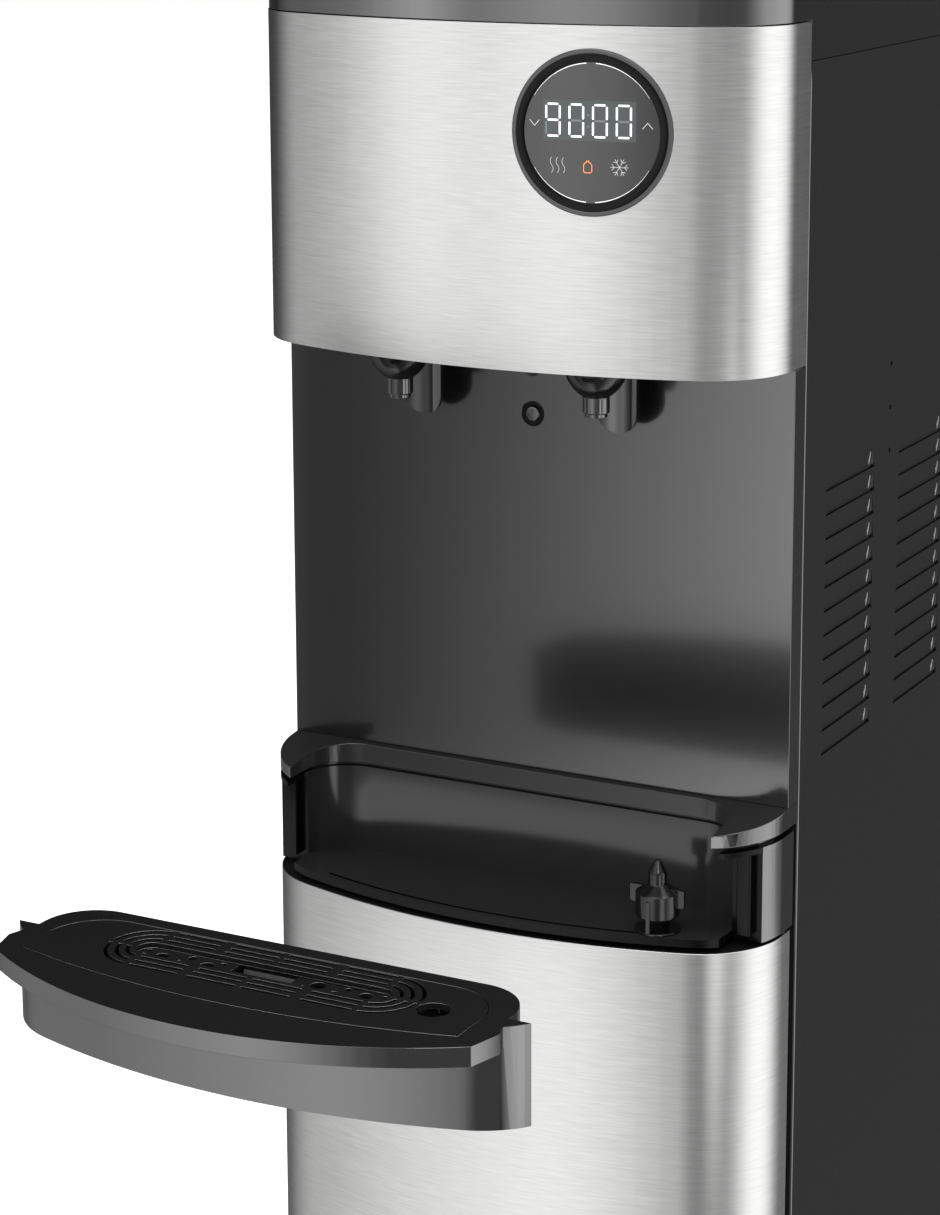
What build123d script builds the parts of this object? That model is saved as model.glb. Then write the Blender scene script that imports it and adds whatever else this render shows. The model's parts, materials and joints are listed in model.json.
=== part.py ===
"""Bottom-loading hot and cold water dispenser, in millimetres, +Z up, front towards -Y."""
from build123d import *
from math import asin, atan2, cos, degrees, pi, sin, sqrt
import os

# Cabinet
WIDTH = 310.0
SIDE_DEPTH = 265.0
SHEET = 1.0
FLANGE = 12.0
SLIP = 0.2
FOOT_HEIGHT = 12.0
FOOT_R = 16.0
FOOT_EDGE = 1.5
FOOT_INSET = 42.0
BASE_HEIGHT = 30.0
BASE_WALL = 3.0
BASE_SETBACK = 2.0
SHEET_LIFT = 4.0

# Bowed front, shared by the fascia, the tray bay, the tray and the door
CHEEK_FLAT = 18.7
CORNER_R = 51.0
BOW_R = 399.0

# Heights of the front, from the bottom up
DOOR_GAP = 3.0
DOOR_HEIGHT = 515.0
BAY_GAP = 2.0
BAY_HEIGHT = 54.0
COLLAR_SEAM = 3.0
COLLAR_BACK = 12.0
COLLAR_FRONT = 7.4
COLLAR_FALL = 43.3
NICHE_HEIGHT = 241.0
FASCIA_HEIGHT = 181.3
COVER_HEIGHT = 42.5
COVER_SKIRT = 21.0
COVER_WALL = 3.5
COVER_EDGE_R = 7.0
COVER_INSET = 0.5
SEAM = 0.3

# Bottle door
SKIN = 1.0
DOOR_THICK = 16.0
DOOR_CAP = 9.0
DOOR_BACK = 9.0
RIM_BACK = 14.0
GASKET_WIDTH = 8.0
GASKET_GAP = 0.4
FRAME_DEPTH = 4.5
FRAME_BAR = 12.0
HINGE_INSET = 7.0
HINGE_AHEAD = 14.0
HINGE_PIN_R = 3.0
HINGE_PIN_GRIP = 12.0
PIN_CLEAR = 0.05
MAGNET_HEIGHT = 60.0
MAGNET_THICK = 3.0

# Niche, taps and paddles
NICHE_AHEAD = 14.66
NICHE_WALL = 3.0
PLATE_RISE = 8.0
PLATE = 3.0
TAP_INSET = 95.5
TAP_AHEAD = 57.3
TAP_R = 17.6
TAP_FLANGE = 4.0
TAP_FLANGE_WIDTH = 1.6
NOZZLE_R = 7.2
NOZZLE_DROP = 26.0
NOZZLE_HEIGHT = 11.0
NOZZLE_BORE = 4.0
NOZZLE_BORE_DEPTH = 12.0
NOZZLE_TIP = (1.2, 2.0, 2.6)
BOWL_BULGE = (0.66, 0.33)
VALVE_R = 13.0
VALVE_HEIGHT = 38.0
TUBE_R = 5.0
TUBE_BORE = 3.5
TUBE_RISE = 18.0
PADDLE_AHEAD = 29.0
PADDLE_HALF = 12.0
PADDLE_DROP = 40.0
PADDLE_THICK = 2.2
PADDLE_CURVE = 26.0
PIVOT_RISE = 10.0
KNUCKLE_R = 4.0
PADDLE_PIN_R = 1.5
LUG = 4.0
PADDLE_PLAY = 0.5
PADDLE_ROOM = 7.0
SWITCH_GAP = 2.5
SWITCH_FOOT = 6.0
BUTTON_DROP = 37.5
BUTTON_R = 4.2
BUTTON_RING_R = 6.9
BUTTON_LENGTH = 8.0
BUTTON_PLAY = 0.15
BUTTON_ROOM = 3.0
BUTTON_PROUD = 0.5
BUTTON_EDGE = 0.8
CUP_WALL = 2.0
LIGHT_DROP = 11.5
LIGHT_R = 5.0
LIGHT_PROUD = 3.0

# Display
DISPLAY_X = 66.85
DISPLAY_DROP = 54.6
DISPLAY_R = 43.0
GLASS_R = 36.2
BEZEL_LEDGE = 3.0
BEZEL_PROUD = 1.2
BEZEL_DEPTH = 12.0
LENS_THICK = 3.0
LENS_SINK = 1.0
BOARD_THICK = 1.6
BOARD_GAP = 4.0

# Tray bay, tray, grille and float
TRAY_PULL = 250.0
TRAY_DROP = 4.0
TRAY_BACK = 16.5
TRAY_INSET = 22.0
TRAY_CORNER = 27.5
TRAY_WALL = 3.0
TRAY_CLEAR = 1.0
TRAY_FLOOR = 3.0
TRAY_SKIRT_GAP = 1.0
TRAY_DECK = 6.0
EAR_INSET = 8.5
EAR_AHEAD = 49.0
LIP_OVERHANG = 40.3
LIP_END_AHEAD = 85.5
LIP_ROOT_INSET = 17.0
LIP_ROOT_AHEAD = 67.5
LIP_HEIGHT = 10.0
BAY_FLOOR = 4.5
BAY_REAR = 6.0
BAY_LIP_SETBACK = 4.0
BAY_GROOVE = 2.0
BAY_GROOVE_DEPTH = 1.5
COLLAR_OVERLAP = 2.5
COLLAR_AHEAD = 19.0
COLLAR_CORNER = 25.0
SEAM_DEPTH = 3.0
OVERFLOW_HALF = 8.0
FLOAT_INSET = 36.0
FLOAT_AHEAD = 56.0
FLOAT_R = 12.0
FLOAT_HEIGHT = 39.2
FLOAT_TIP_R = 5.2
FLOAT_TIP_TOP_R = 1.6
FLOAT_TIP_RISE = 32.0
FLOAT_DRUM = (7.3, 21.5)
FLOAT_DRUM_EDGE = 1.5
FLOAT_NECK = 26.0
FLOAT_WING = (14.0, 24.0)
FLOAT_WING_EDGE = 1.6
FLOAT_SPAN = 16.0
FLOAT_LEG = 13.0
FLOAT_LEG_DEPTH = 3.0
FLOAT_FIN = 2.4
FLOAT_PIN_R = 2.5
FLOAT_PIN_RISE = 23.5
FLOAT_BORE_RISE = 30.0
FLOAT_SEAT_R = 12.6
FLOAT_SEAT = 1.2
FLOAT_LIFT = 0.3
FLOAT_PLAY = 1.2
FLOAT_HOLE_R = 8.5
GRILLE_THICK = 3.0
GRILLE_CLEAR = 0.4
GRILLE_LEDGE = 5.0
GRILLE_INSET = 10.5
GRILLE_BACK = 26.0
GRILLE_FRONT = 95.0
GRILLE_BOW = 16.5
GRILLE_CORNER = 30.0
GRILLE_CENTRE = 51.0
SLOT_WIDTH = 2.2
SLOT_ROWS = (22.5, 17.0, 11.8)
SLOT_INSET = 69.0
SLOT_GAP = 1.6
SLOT_WIDE_GAP = 3.0
TROUGH_R = 7.5
TROUGH_WALL = 1.6
TROUGH_DEPTH = 2.6
TROUGH_FLOOR = 2.0
TROUGH_HOLES = ((0.15, -3.6, 1.7), (0.29, 1.6, 4.0), (0.53, -3.4, 2.4), (0.62, 3.4, 1.8), (0.86, 0.6, 3.4),
                (1.06, 3.0, 1.5), (1.06, -3.0, 1.5))
FINGER_HALF = 17.0
FINGER_REACH = 6.0

# Louvres of the side panels
LOUVRE_ROWS = 12
LOUVRE_PITCH = 13.6
LOUVRE_LENGTH = 73.6
LOUVRE_HEIGHT = 11.8
LOUVRE_DEPTH = 2.8
LOUVRE_STARTS = (32.2, 144.6)
LOUVRE_DROP = 75.3
VENT_HOLE_R = 1.6
VENT_HOLE_BACK = 129.0
VENT_HOLE_PITCH = 25.1
VENT_HOLE_DROP = 20.2

# Inside
PLATFORM = 5.0
BOTTLE_R = 137.0
BOTTLE_BACK = 115.0
BOTTLE_RIM = 4.0
BOTTLE_RIM_HEIGHT = 5.0
SHELF = 2.0
SHELF_BELOW_COLLAR = 27.0
DECK_BELOW_FASCIA = 44.0
MACHINE_BACK = 150.0
COMPRESSOR_R = 66.0
COMPRESSOR_HEIGHT = 165.0
COMPRESSOR_X = 35.0
COMPRESSOR_PLATE = 3.0
TERMINAL_BOX = (22.0, 18.0, 40.0, 95.0)
GROMMET_R = 9.0
GROMMET_HEIGHT = 8.0
TANK_HEIGHT = 170.0
HOT_TANK_INSET = 11.0
HOT_TANK_R = 38.0
HOT_JACKET = 10.0
COLD_TANK_INSET = 11.0
COLD_TANK_R = 64.0
COLD_JACKET = 12.0
TANK_WALL = 1.5
PROBE_INSET = 31.0
PROBE_BACK = 236.0
PROBE_R = 6.0
PROBE_LENGTH = 430.0
PROBE_CAP_R = 20.0
PROBE_CAP_HEIGHT = 34.0
PROBE_HANG = 26.0
HOSE_R = 5.0
PUMP_SIZE = (46.0, 46.0, 58.0)
PUMP_LIFT = 6.0

# Back
SWITCH_INSET = 71.0
SWITCH_DROP = 47.3
SWITCH_PITCH = 26.0
ROCKER = (13.0, 22.0)
ROCKER_GAP = 0.4
ROCKER_R = 11.0
ROCKER_DEPTH = 9.0
ROCKER_PIN_R = 1.5
ROCKER_PIN = 1.6
SWITCH_PLATE = (92.0, 36.0, 4.0)
INLET_INSET = 55.0
INLET_DROP = 46.0
INLET = (50.0, 30.0, 22.0)
INLET_FLANGE = 3.0
INLET_MOUTH = (24.0, 16.0)
INLET_DEPTH = 16.0
DRAIN_INSET = 95.0
DRAIN_RISE = 18.0
DRAIN_R = 13.0
DRAIN_LENGTH = 13.0
COIL_TUBE_R = 2.4
COIL_INSET = 35.0
COIL_RUNS = 9
COIL_PITCH = 34.0
COIL_RISE = 49.0
COIL_STANDOFF = 11.0
WIRE_R = 0.8
WIRE_PITCH = 16.0
WIRE_COUNT = 13
WIRE_TOUCH = 0.05
BRACKET_INSET = 67.0
BRACKET = (12.0, 14.0)
SCREW_R = 1.8
SCREW_HEAD_R = 4.0
SCREW_HEAD = 2.0
SCREW_LENGTH = 10.0
SCREW_ROWS = 4
SCREW_END = 30.0
WINDOW_LAP = (4.0, 5.0, 3.0)

# Worked out from the sizes above
HALF = WIDTH / 2
CORNER_X = HALF - CORNER_R
BOW_REACH = BOW_R + CHEEK_FLAT - sqrt((BOW_R - CORNER_R) ** 2 - CORNER_X ** 2)
LIP_REACH = BOW_REACH + LIP_OVERHANG
REAR_PROUD = COIL_STANDOFF + COIL_TUBE_R + WIRE_TOUCH + 2 * WIRE_R
FRONT = (LIP_REACH + TRAY_PULL - SIDE_DEPTH - REAR_PROUD) / 2
REAR = FRONT + SIDE_DEPTH
BASE_TOP = FOOT_HEIGHT + BASE_HEIGHT
DOOR_BOTTOM = BASE_TOP + DOOR_GAP
DOOR_TOP = DOOR_BOTTOM + DOOR_HEIGHT
BAY_BOTTOM = DOOR_TOP + BAY_GAP
BAY_TOP = BAY_BOTTOM + BAY_HEIGHT
COLLAR_BOTTOM = BAY_TOP + COLLAR_SEAM
COLLAR_TOP = COLLAR_BOTTOM + COLLAR_BACK
FASCIA_BOTTOM = COLLAR_TOP + NICHE_HEIGHT
FASCIA_TOP = FASCIA_BOTTOM + FASCIA_HEIGHT
HEIGHT = FASCIA_TOP + COVER_HEIGHT
SHEET_TOP = FASCIA_TOP - COVER_SKIRT
PLATE_BOTTOM = FASCIA_BOTTOM + PLATE_RISE
PLATE_TOP = PLATE_BOTTOM + PLATE
PIVOT_Z = PLATE_TOP + PIVOT_RISE
FLOOR_TOP = BAY_BOTTOM + BAY_FLOOR
TRAY_TOP = BAY_TOP - TRAY_DROP
TRAY_BASE = FLOOR_TOP + TRAY_CLEAR
SHELF_TOP = COLLAR_TOP - SHELF_BELOW_COLLAR + SHELF
DECK_TOP = FASCIA_BOTTOM - DECK_BELOW_FASCIA + SHELF
INSIDE_HALF = HALF - SHEET - SLIP
GASKET_HALF = HALF - SKIN - DOOR_THICK / 2 + GASKET_WIDTH / 2
FRAME_HALF = GASKET_HALF
TAP_X = HALF - TAP_INSET
TRAY_HALF = HALF - TRAY_INSET
EAR_HALF = HALF - EAR_INSET
LIP_HALF = TRAY_HALF
LIP_ROOT_HALF = HALF - LIP_ROOT_INSET
COLLAR_HALF = TRAY_HALF - COLLAR_OVERLAP
GRILLE_HALF = TRAY_HALF - GRILLE_INSET
FLOAT_X = TRAY_HALF - FLOAT_INSET
SLOT_HALF = TRAY_HALF - SLOT_INSET
HOT_TANK_X = HOT_TANK_INSET + HOT_JACKET + HOT_TANK_R - HALF
COLD_TANK_X = HALF - COLD_TANK_INSET - COLD_JACKET - COLD_TANK_R
PROBE_X = PROBE_INSET - HALF
SWITCH_X = SWITCH_INSET - HALF
SWITCH_Z = SHEET_TOP - SWITCH_DROP
INLET_X = HALF - INLET_INSET
INLET_Z = SHELF_TOP - INLET_DROP
DRAIN_X = DRAIN_INSET - HALF
DRAIN_Z = SHELF_TOP + DRAIN_RISE
COIL_HALF = HALF - COIL_INSET
COIL_BOTTOM = SHELF_TOP + COIL_RISE
BRACKET_X = HALF - BRACKET_INSET
FAR = 1000.0


def ahead(distance):
    """Y of a point that far in front of the side panels' front edges."""
    return FRONT - distance


def behind(distance):
    """Y of a point that far behind the side panels' front edges."""
    return FRONT + distance


def block(x0, x1, y0, y1, z0, z1):
    """Box between two corners."""
    centre = Pos((x0 + x1) / 2, (y0 + y1) / 2, (z0 + z1) / 2)
    return centre * Box(abs(x1 - x0), abs(y1 - y0), abs(z1 - z0))


def post(x, y, z0, z1, radius):
    """Upright cylinder."""
    return Pos(x, y, (z0 + z1) / 2) * Cylinder(radius, z1 - z0)


def rod_x(x0, x1, y, z, radius):
    """Cylinder along X."""
    return Pos((x0 + x1) / 2, y, z) * Rot(0, 90, 0) * Cylinder(radius, x1 - x0)


def rod_y(x, y0, y1, z, radius):
    """Cylinder along Y."""
    return Pos(x, (y0 + y1) / 2, z) * Rot(90, 0, 0) * Cylinder(radius, y1 - y0)


def prism(plan, z0, z1):
    """Plan raised from z0 to z1."""
    return Pos(0, 0, z0) * extrude(plan, z1 - z0)


def front_plan(inset, back):
    """Plan of the bowed front drawn in by inset, closed by a straight line at y = back."""
    side = HALF - inset
    corner = CORNER_R - inset
    bow_y = ahead(BOW_REACH) + BOW_R
    cheek_y = ahead(CHEEK_FLAT)
    turn = atan2(CORNER_X, bow_y - cheek_y)
    half_turn = (pi / 2 - turn) / 2
    right = (side, cheek_y)
    right_mid = (CORNER_X + corner * cos(half_turn), cheek_y - corner * sin(half_turn))
    right_end = (CORNER_X + corner * sin(turn), cheek_y - corner * cos(turn))
    left, left_mid, left_end = [(-x, y) for x, y in (right, right_mid, right_end)]
    outline = [
        Line((side, back), right),
        ThreePointArc(right, right_mid, right_end),
        ThreePointArc(right_end, (0, ahead(BOW_REACH) + inset), left_end),
        ThreePointArc(left_end, left_mid, left),
        Line(left, (-side, back)),
        Line((-side, back), (side, back)),
    ]
    return make_face(outline)


def front_shell(outer, inner, back, z0, z1):
    """Bowed wall between two insets, open at the back."""
    return prism(front_plan(outer, back), z0, z1) - prism(front_plan(inner, back + FAR), z0 - 1, z1 + 1)


def rounded_back(half, back, corner):
    """Plan with a straight back and two rounded back corners, open far to the front."""
    front = back - FAR
    plan = make_face(Polyline((-half, front), (half, front), (half, back), (-half, back), close=True))
    return fillet(plan.vertices().group_by(Axis.Y)[-1], corner)


def rear_plan(half, back):
    """Rectangle from just ahead of the side panels' front edges to y = back."""
    return make_face(Polyline((-half, FRONT - 1), (half, FRONT - 1), (half, back), (-half, back), close=True))


def cabinet_plan(inset):
    """Plan of the whole cabinet: bowed front and straight sides."""
    return front_plan(inset, FRONT) + rear_plan(HALF - inset, REAR - inset)


# Base and casing
def foot_places():
    """Centres of the four feet."""
    rows = (ahead(FOOT_INSET / 2), REAR - FOOT_INSET)
    return [(side * (HALF - FOOT_INSET), y) for side in (-1, 1) for y in rows]


def base_plinth():
    """Moulded base, hollow underneath, with a boss over each foot."""
    front = front_plan(BASE_SETBACK, FRONT)
    back = REAR - SHEET - SLIP
    base = prism(front + rear_plan(INSIDE_HALF, back), FOOT_HEIGHT, BASE_TOP)
    inner_front = front_plan(BASE_SETBACK + BASE_WALL, FRONT)
    inner_rear = rear_plan(INSIDE_HALF - BASE_WALL, back - BASE_WALL)
    base -= prism(inner_front + inner_rear, FOOT_HEIGHT - 1, BASE_TOP - BASE_WALL)
    for x, y in foot_places():
        base += post(x, y, FOOT_HEIGHT, BASE_TOP - BASE_WALL, FOOT_R)
    x, y = hinge_place()
    boss = post(x, y, BASE_TOP - HINGE_PIN_GRIP - BASE_WALL, BASE_TOP, HINGE_PIN_R + BASE_WALL)
    base += boss & prism(front, FOOT_HEIGHT, BASE_TOP)
    return base - post(x, y, BASE_TOP - HINGE_PIN_GRIP, BASE_TOP + 1, HINGE_PIN_R)


def levelling_feet():
    """Four round feet."""
    feet = [post(x, y, 0, FOOT_HEIGHT, FOOT_R) for x, y in foot_places()]
    return [chamfer(foot.edges().group_by(Axis.Z)[0], FOOT_EDGE) for foot in feet]


def louvre(depth, height):
    """Solid of one louvre pocket, sloping in from x = 0 towards -X, deepest and open below at z = 0."""
    length = LOUVRE_LENGTH - 2 * LOUVRE_DEPTH
    profile = Plane.XZ * make_face(Polyline((0, 0), (-depth, 0), (0, height), close=True))
    pocket = Pos(0, LOUVRE_LENGTH / 2 + length / 2, 0) * extrude(profile, length)
    for turn, y in ((-90, LOUVRE_LENGTH / 2 - length / 2), (90, LOUVRE_LENGTH / 2 + length / 2)):
        pocket += Pos(0, y, 0) * revolve(profile, Axis.Z, -turn)
    return pocket


def right_side_panel():
    """Steel sheet with folded flanges and two columns of louvres pressed inwards."""
    inner = HALF - SHEET
    panel = block(inner, HALF, FRONT, REAR, FOOT_HEIGHT + SHEET_LIFT, SHEET_TOP)
    for y in (FRONT, REAR - 2 * SHEET):
        panel += block(inner - FLANGE, HALF - SHEET / 2, y, y + SHEET, BASE_TOP + SLIP, SHEET_TOP)
    top = FASCIA_BOTTOM - LOUVRE_DROP
    places = [Pos(HALF, behind(start), top - row * LOUVRE_PITCH)
              for start in LOUVRE_STARTS for row in range(LOUVRE_ROWS)]
    pocket = louvre(LOUVRE_DEPTH, LOUVRE_HEIGHT)
    scoop = louvre(LOUVRE_DEPTH + SHEET, LOUVRE_HEIGHT + SHEET) - pocket
    panel -= [place * pocket for place in places]
    panel += [place * scoop for place in places]
    for row in range(3):
        z = FASCIA_BOTTOM - VENT_HOLE_DROP - row * VENT_HOLE_PITCH
        panel -= rod_x(inner - 1, HALF + 1, behind(VENT_HOLE_BACK), z, VENT_HOLE_R)
    for x, z in screw_places():
        panel -= rod_y(abs(x), REAR - 3 * SHEET, REAR, z, SCREW_R)
    return panel


def left_side_panel():
    """Mirror image of the right side panel."""
    return mirror(right_side_panel(), Plane.YZ)


def screw_places():
    """Places of the screws that hold the back panel, as x and z."""
    low = BASE_TOP + SCREW_END
    step = (SHEET_TOP - SCREW_END - low) / (SCREW_ROWS - 1)
    x = HALF - SHEET - FLANGE / 2
    return [(side * x, low + row * step) for side in (-1, 1) for row in range(SCREW_ROWS)]


def back_panel():
    """Steel back with windows for the switches, the inlet and the drain."""
    panel = block(-INSIDE_HALF, INSIDE_HALF, REAR - SHEET, REAR, FOOT_HEIGHT + SHEET_LIFT, SHEET_TOP)
    for x, z in screw_places():
        panel -= rod_y(x, REAR - 2, REAR + 1, z, SCREW_R)
    plate_lap, inlet_side, inlet_top = WINDOW_LAP
    half, rise = SWITCH_PLATE[0] / 2 - plate_lap, SWITCH_PLATE[1] / 2 - plate_lap
    panel -= block(SWITCH_X - half, SWITCH_X + half, REAR - 2, REAR + 1, SWITCH_Z - rise, SWITCH_Z + rise)
    half, rise = INLET[0] / 2 - inlet_side, INLET[1] / 2 - inlet_top
    panel -= block(INLET_X - half, INLET_X + half, REAR - 2, REAR + 1, INLET_Z - rise, INLET_Z + rise)
    return panel - rod_y(DRAIN_X, REAR - 2, REAR + 1, DRAIN_Z, DRAIN_R / 2)


def panel_screws():
    """Screws of the back panel."""
    return [rod_y(x, REAR, REAR + SCREW_HEAD, z, SCREW_HEAD_R)
            + rod_y(x, REAR - SCREW_LENGTH, REAR, z, SCREW_R) for x, z in screw_places()]


def top_cover():
    """Gloss cap with a skirt that stands on the side and back panels."""
    cap = prism(cabinet_plan(COVER_INSET), FASCIA_TOP + SEAM, HEIGHT)
    cap = fillet(cap.edges().group_by(Axis.Z)[-1], COVER_EDGE_R)
    side = HALF - COVER_INSET
    cap += block(-side, side, FRONT + SEAM, REAR - COVER_INSET, SHEET_TOP, FASCIA_TOP + SEAM + 1)
    cap -= prism(cabinet_plan(COVER_INSET + COVER_WALL), FASCIA_TOP - COVER_SKIRT - 1, HEIGHT - COVER_WALL)
    inner = side - COVER_WALL
    return cap - block(-inner, inner, FRONT - 1, FRONT + COVER_WALL + 1, SHEET_TOP - 1, FASCIA_TOP + SEAM)


# Fascia and display
def on_fascia(shape):
    """Place a shape, made around Z with its face at z = 0, on the bowed fascia at the display's centre."""
    turn = asin(DISPLAY_X / BOW_R)
    y = ahead(BOW_REACH) + BOW_R - BOW_R * cos(turn)
    return Pos(DISPLAY_X, y, FASCIA_TOP - DISPLAY_DROP) * Rot(0, 0, degrees(turn)) * Rot(90, 0, 0) * shape


def disc(radius, z0, z1):
    """Cylinder around Z, for the parts of the display."""
    return Pos(0, 0, (z0 + z1) / 2) * Cylinder(radius, z1 - z0)


def bowed_disc(radius, outer, inner):
    """Round cut from the bowed front at the display's place, between two insets."""
    low = FASCIA_TOP - DISPLAY_DROP - DISPLAY_R - 1
    wall = front_shell(outer, inner, FRONT, low, low + 2 * DISPLAY_R + 2)
    return wall & on_fascia(disc(radius, -DISPLAY_R, DISPLAY_R))


def display_bezel():
    """Tube-shaped bezel that follows the bow, with a ledge that the glass lies on."""
    seat = LENS_SINK - BEZEL_PROUD + LENS_THICK
    bezel = bowed_disc(DISPLAY_R, -BEZEL_PROUD, BEZEL_DEPTH)
    bezel -= bowed_disc(GLASS_R, -BEZEL_PROUD - 1, seat)
    return bezel - bowed_disc(GLASS_R - BEZEL_LEDGE, seat - 1, BEZEL_DEPTH + 1)


def display_lens():
    """Dark glass disc that follows the bow."""
    top = LENS_SINK - BEZEL_PROUD
    return bowed_disc(GLASS_R, top, top + LENS_THICK)


def display_board():
    """Round circuit board behind the ledge, bowed as the glass is."""
    top = LENS_SINK - BEZEL_PROUD + LENS_THICK
    return bowed_disc(GLASS_R - BEZEL_LEDGE, top + BOARD_GAP, top + BOARD_GAP + BOARD_THICK)


def fascia_skin():
    """Bowed steel skin with a round hole for the display."""
    skin = front_shell(0, SKIN, ahead(SEAM), FASCIA_BOTTOM, FASCIA_TOP)
    return skin - on_fascia(disc(DISPLAY_R, -3 * BEZEL_DEPTH, BEZEL_DEPTH))


def fascia_frame():
    """Moulded frame behind the skin, with the plate that carries the taps and the paddles' lugs."""
    frame = front_shell(SKIN, SKIN + BASE_WALL, ahead(SEAM), FASCIA_BOTTOM + 2, FASCIA_TOP - 2)
    frame += prism(front_plan(SKIN + 1, ahead(SEAM)), PLATE_BOTTOM, PLATE_TOP)
    frame -= on_fascia(disc(DISPLAY_R, -3 * BEZEL_DEPTH, BEZEL_DEPTH))
    slot_half = PADDLE_HALF + PADDLE_PLAY
    for x in (-TAP_X, TAP_X):
        frame -= post(x, ahead(TAP_AHEAD), PLATE_BOTTOM - 1, PLATE_TOP + 1, TAP_R)
        slot_front = ahead(PADDLE_AHEAD + PADDLE_ROOM)
        frame -= block(x - slot_half, x + slot_half, slot_front, ahead(PADDLE_AHEAD - 2 * PADDLE_ROOM),
                       PLATE_BOTTOM - 1, PLATE_TOP + 1)
        for side in (-1, 1):
            inner = x + side * slot_half
            lug = block(inner, inner + side * LUG, ahead(PADDLE_AHEAD + LUG), ahead(PADDLE_AHEAD - LUG),
                        PLATE_BOTTOM, PIVOT_Z + LUG)
            frame += lug
        reach = slot_half + LUG + 1
        frame -= rod_x(x - reach, x + reach, ahead(PADDLE_AHEAD), PIVOT_Z, PADDLE_PIN_R)
    return frame


# Niche
def niche_panel():
    """Gloss back of the niche with side returns, and holes for the button and the light."""
    face = ahead(NICHE_AHEAD)
    top = FASCIA_BOTTOM - SEAM
    panel = block(-HALF, HALF, face, face + NICHE_WALL, COLLAR_TOP, top)
    inner = HALF - SKIN - BASE_WALL - SEAM
    panel += block(-inner, inner, face, face + NICHE_WALL, top - 1, PLATE_BOTTOM)
    for side in (-1, 1):
        panel += block(side * HALF, side * (HALF - NICHE_WALL), face, ahead(SEAM), COLLAR_TOP, top)
    panel -= rod_y(0, face - 1, face + NICHE_WALL + 1, FASCIA_BOTTOM - BUTTON_DROP, BUTTON_RING_R)
    return panel - rod_y(0, face - 1, face + NICHE_WALL + 1, FASCIA_BOTTOM - LIGHT_DROP, LIGHT_R - 1)


def night_light():
    """Small domed lens with a stem through the niche panel."""
    face = ahead(NICHE_AHEAD)
    z = FASCIA_BOTTOM - LIGHT_DROP
    lens = rod_y(0, face - LIGHT_PROUD, face, z, LIGHT_R)
    lens = fillet(lens.edges().group_by(Axis.Y)[0], LIGHT_PROUD - 0.5)
    return lens + rod_y(0, face, face + NICHE_WALL + 2, z, LIGHT_R - 1)


def button_bezel():
    """Black ring with a cup behind the niche panel that holds the button."""
    face = ahead(NICHE_AHEAD)
    z = FASCIA_BOTTOM - BUTTON_DROP
    cup_end = face + BUTTON_LENGTH + BUTTON_ROOM
    ring = rod_y(0, face, face + NICHE_WALL, z, BUTTON_RING_R)
    ring += rod_y(0, face + NICHE_WALL, cup_end + CUP_WALL, z, BUTTON_RING_R + CUP_WALL)
    return ring - rod_y(0, face - 1, cup_end, z, BUTTON_R + BUTTON_PLAY)


def lock_button():
    """Round push button."""
    face = ahead(NICHE_AHEAD + BUTTON_PROUD)
    button = rod_y(0, face, face + BUTTON_LENGTH, FASCIA_BOTTOM - BUTTON_DROP, BUTTON_R)
    return fillet(button.edges().group_by(Axis.Y)[0], BUTTON_EDGE)


def tap(x):
    """Bowl-shaped tap body with its nozzle, hung by a flange from the plate above the niche."""
    low = FASCIA_BOTTOM - NOZZLE_DROP
    bowl_low = low + NOZZLE_HEIGHT
    bowl_top = PLATE_BOTTOM - 2
    bore_top = low + NOZZLE_BORE_DEPTH
    narrowing, tip_top, step_top = NOZZLE_TIP
    tip = NOZZLE_R - narrowing
    out, up = BOWL_BULGE
    mid = (NOZZLE_R + (TAP_R - NOZZLE_R) * out, bowl_low + (bowl_top - bowl_low) * up)
    flange = TAP_R + TAP_FLANGE_WIDTH
    outline = [
        Polyline((NOZZLE_BORE, bore_top), (NOZZLE_BORE, low), (tip, low), (tip, low + tip_top),
                 (NOZZLE_R, low + step_top), (NOZZLE_R, bowl_low)),
        ThreePointArc((NOZZLE_R, bowl_low), mid, (TAP_R, bowl_top)),
        Polyline((TAP_R, bowl_top), (TAP_R, PLATE_TOP), (flange, PLATE_TOP), (flange, PLATE_TOP + TAP_FLANGE),
                 (0, PLATE_TOP + TAP_FLANGE), (0, bore_top), (NOZZLE_BORE, bore_top)),
    ]
    body = revolve(Plane.XZ * make_face(outline), Axis.Z)
    return Pos(x, ahead(TAP_AHEAD), 0) * body


def tap_valves():
    """Solenoid valve on each tap, with an inlet stub to the back."""
    foot = PLATE_TOP + TAP_FLANGE
    valves = []
    for x in (-TAP_X, TAP_X):
        y = ahead(TAP_AHEAD)
        valve = post(x, y, foot, foot + VALVE_HEIGHT, VALVE_R)
        stub = rod_y(x, y, y + VALVE_R + TUBE_RISE, foot + TUBE_RISE, TUBE_R + 1)
        valve += stub
        valves.append(valve - rod_y(x, y + VALVE_R, y + VALVE_R + TUBE_RISE + 1, foot + TUBE_RISE, TUBE_BORE))
    return valves


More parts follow.
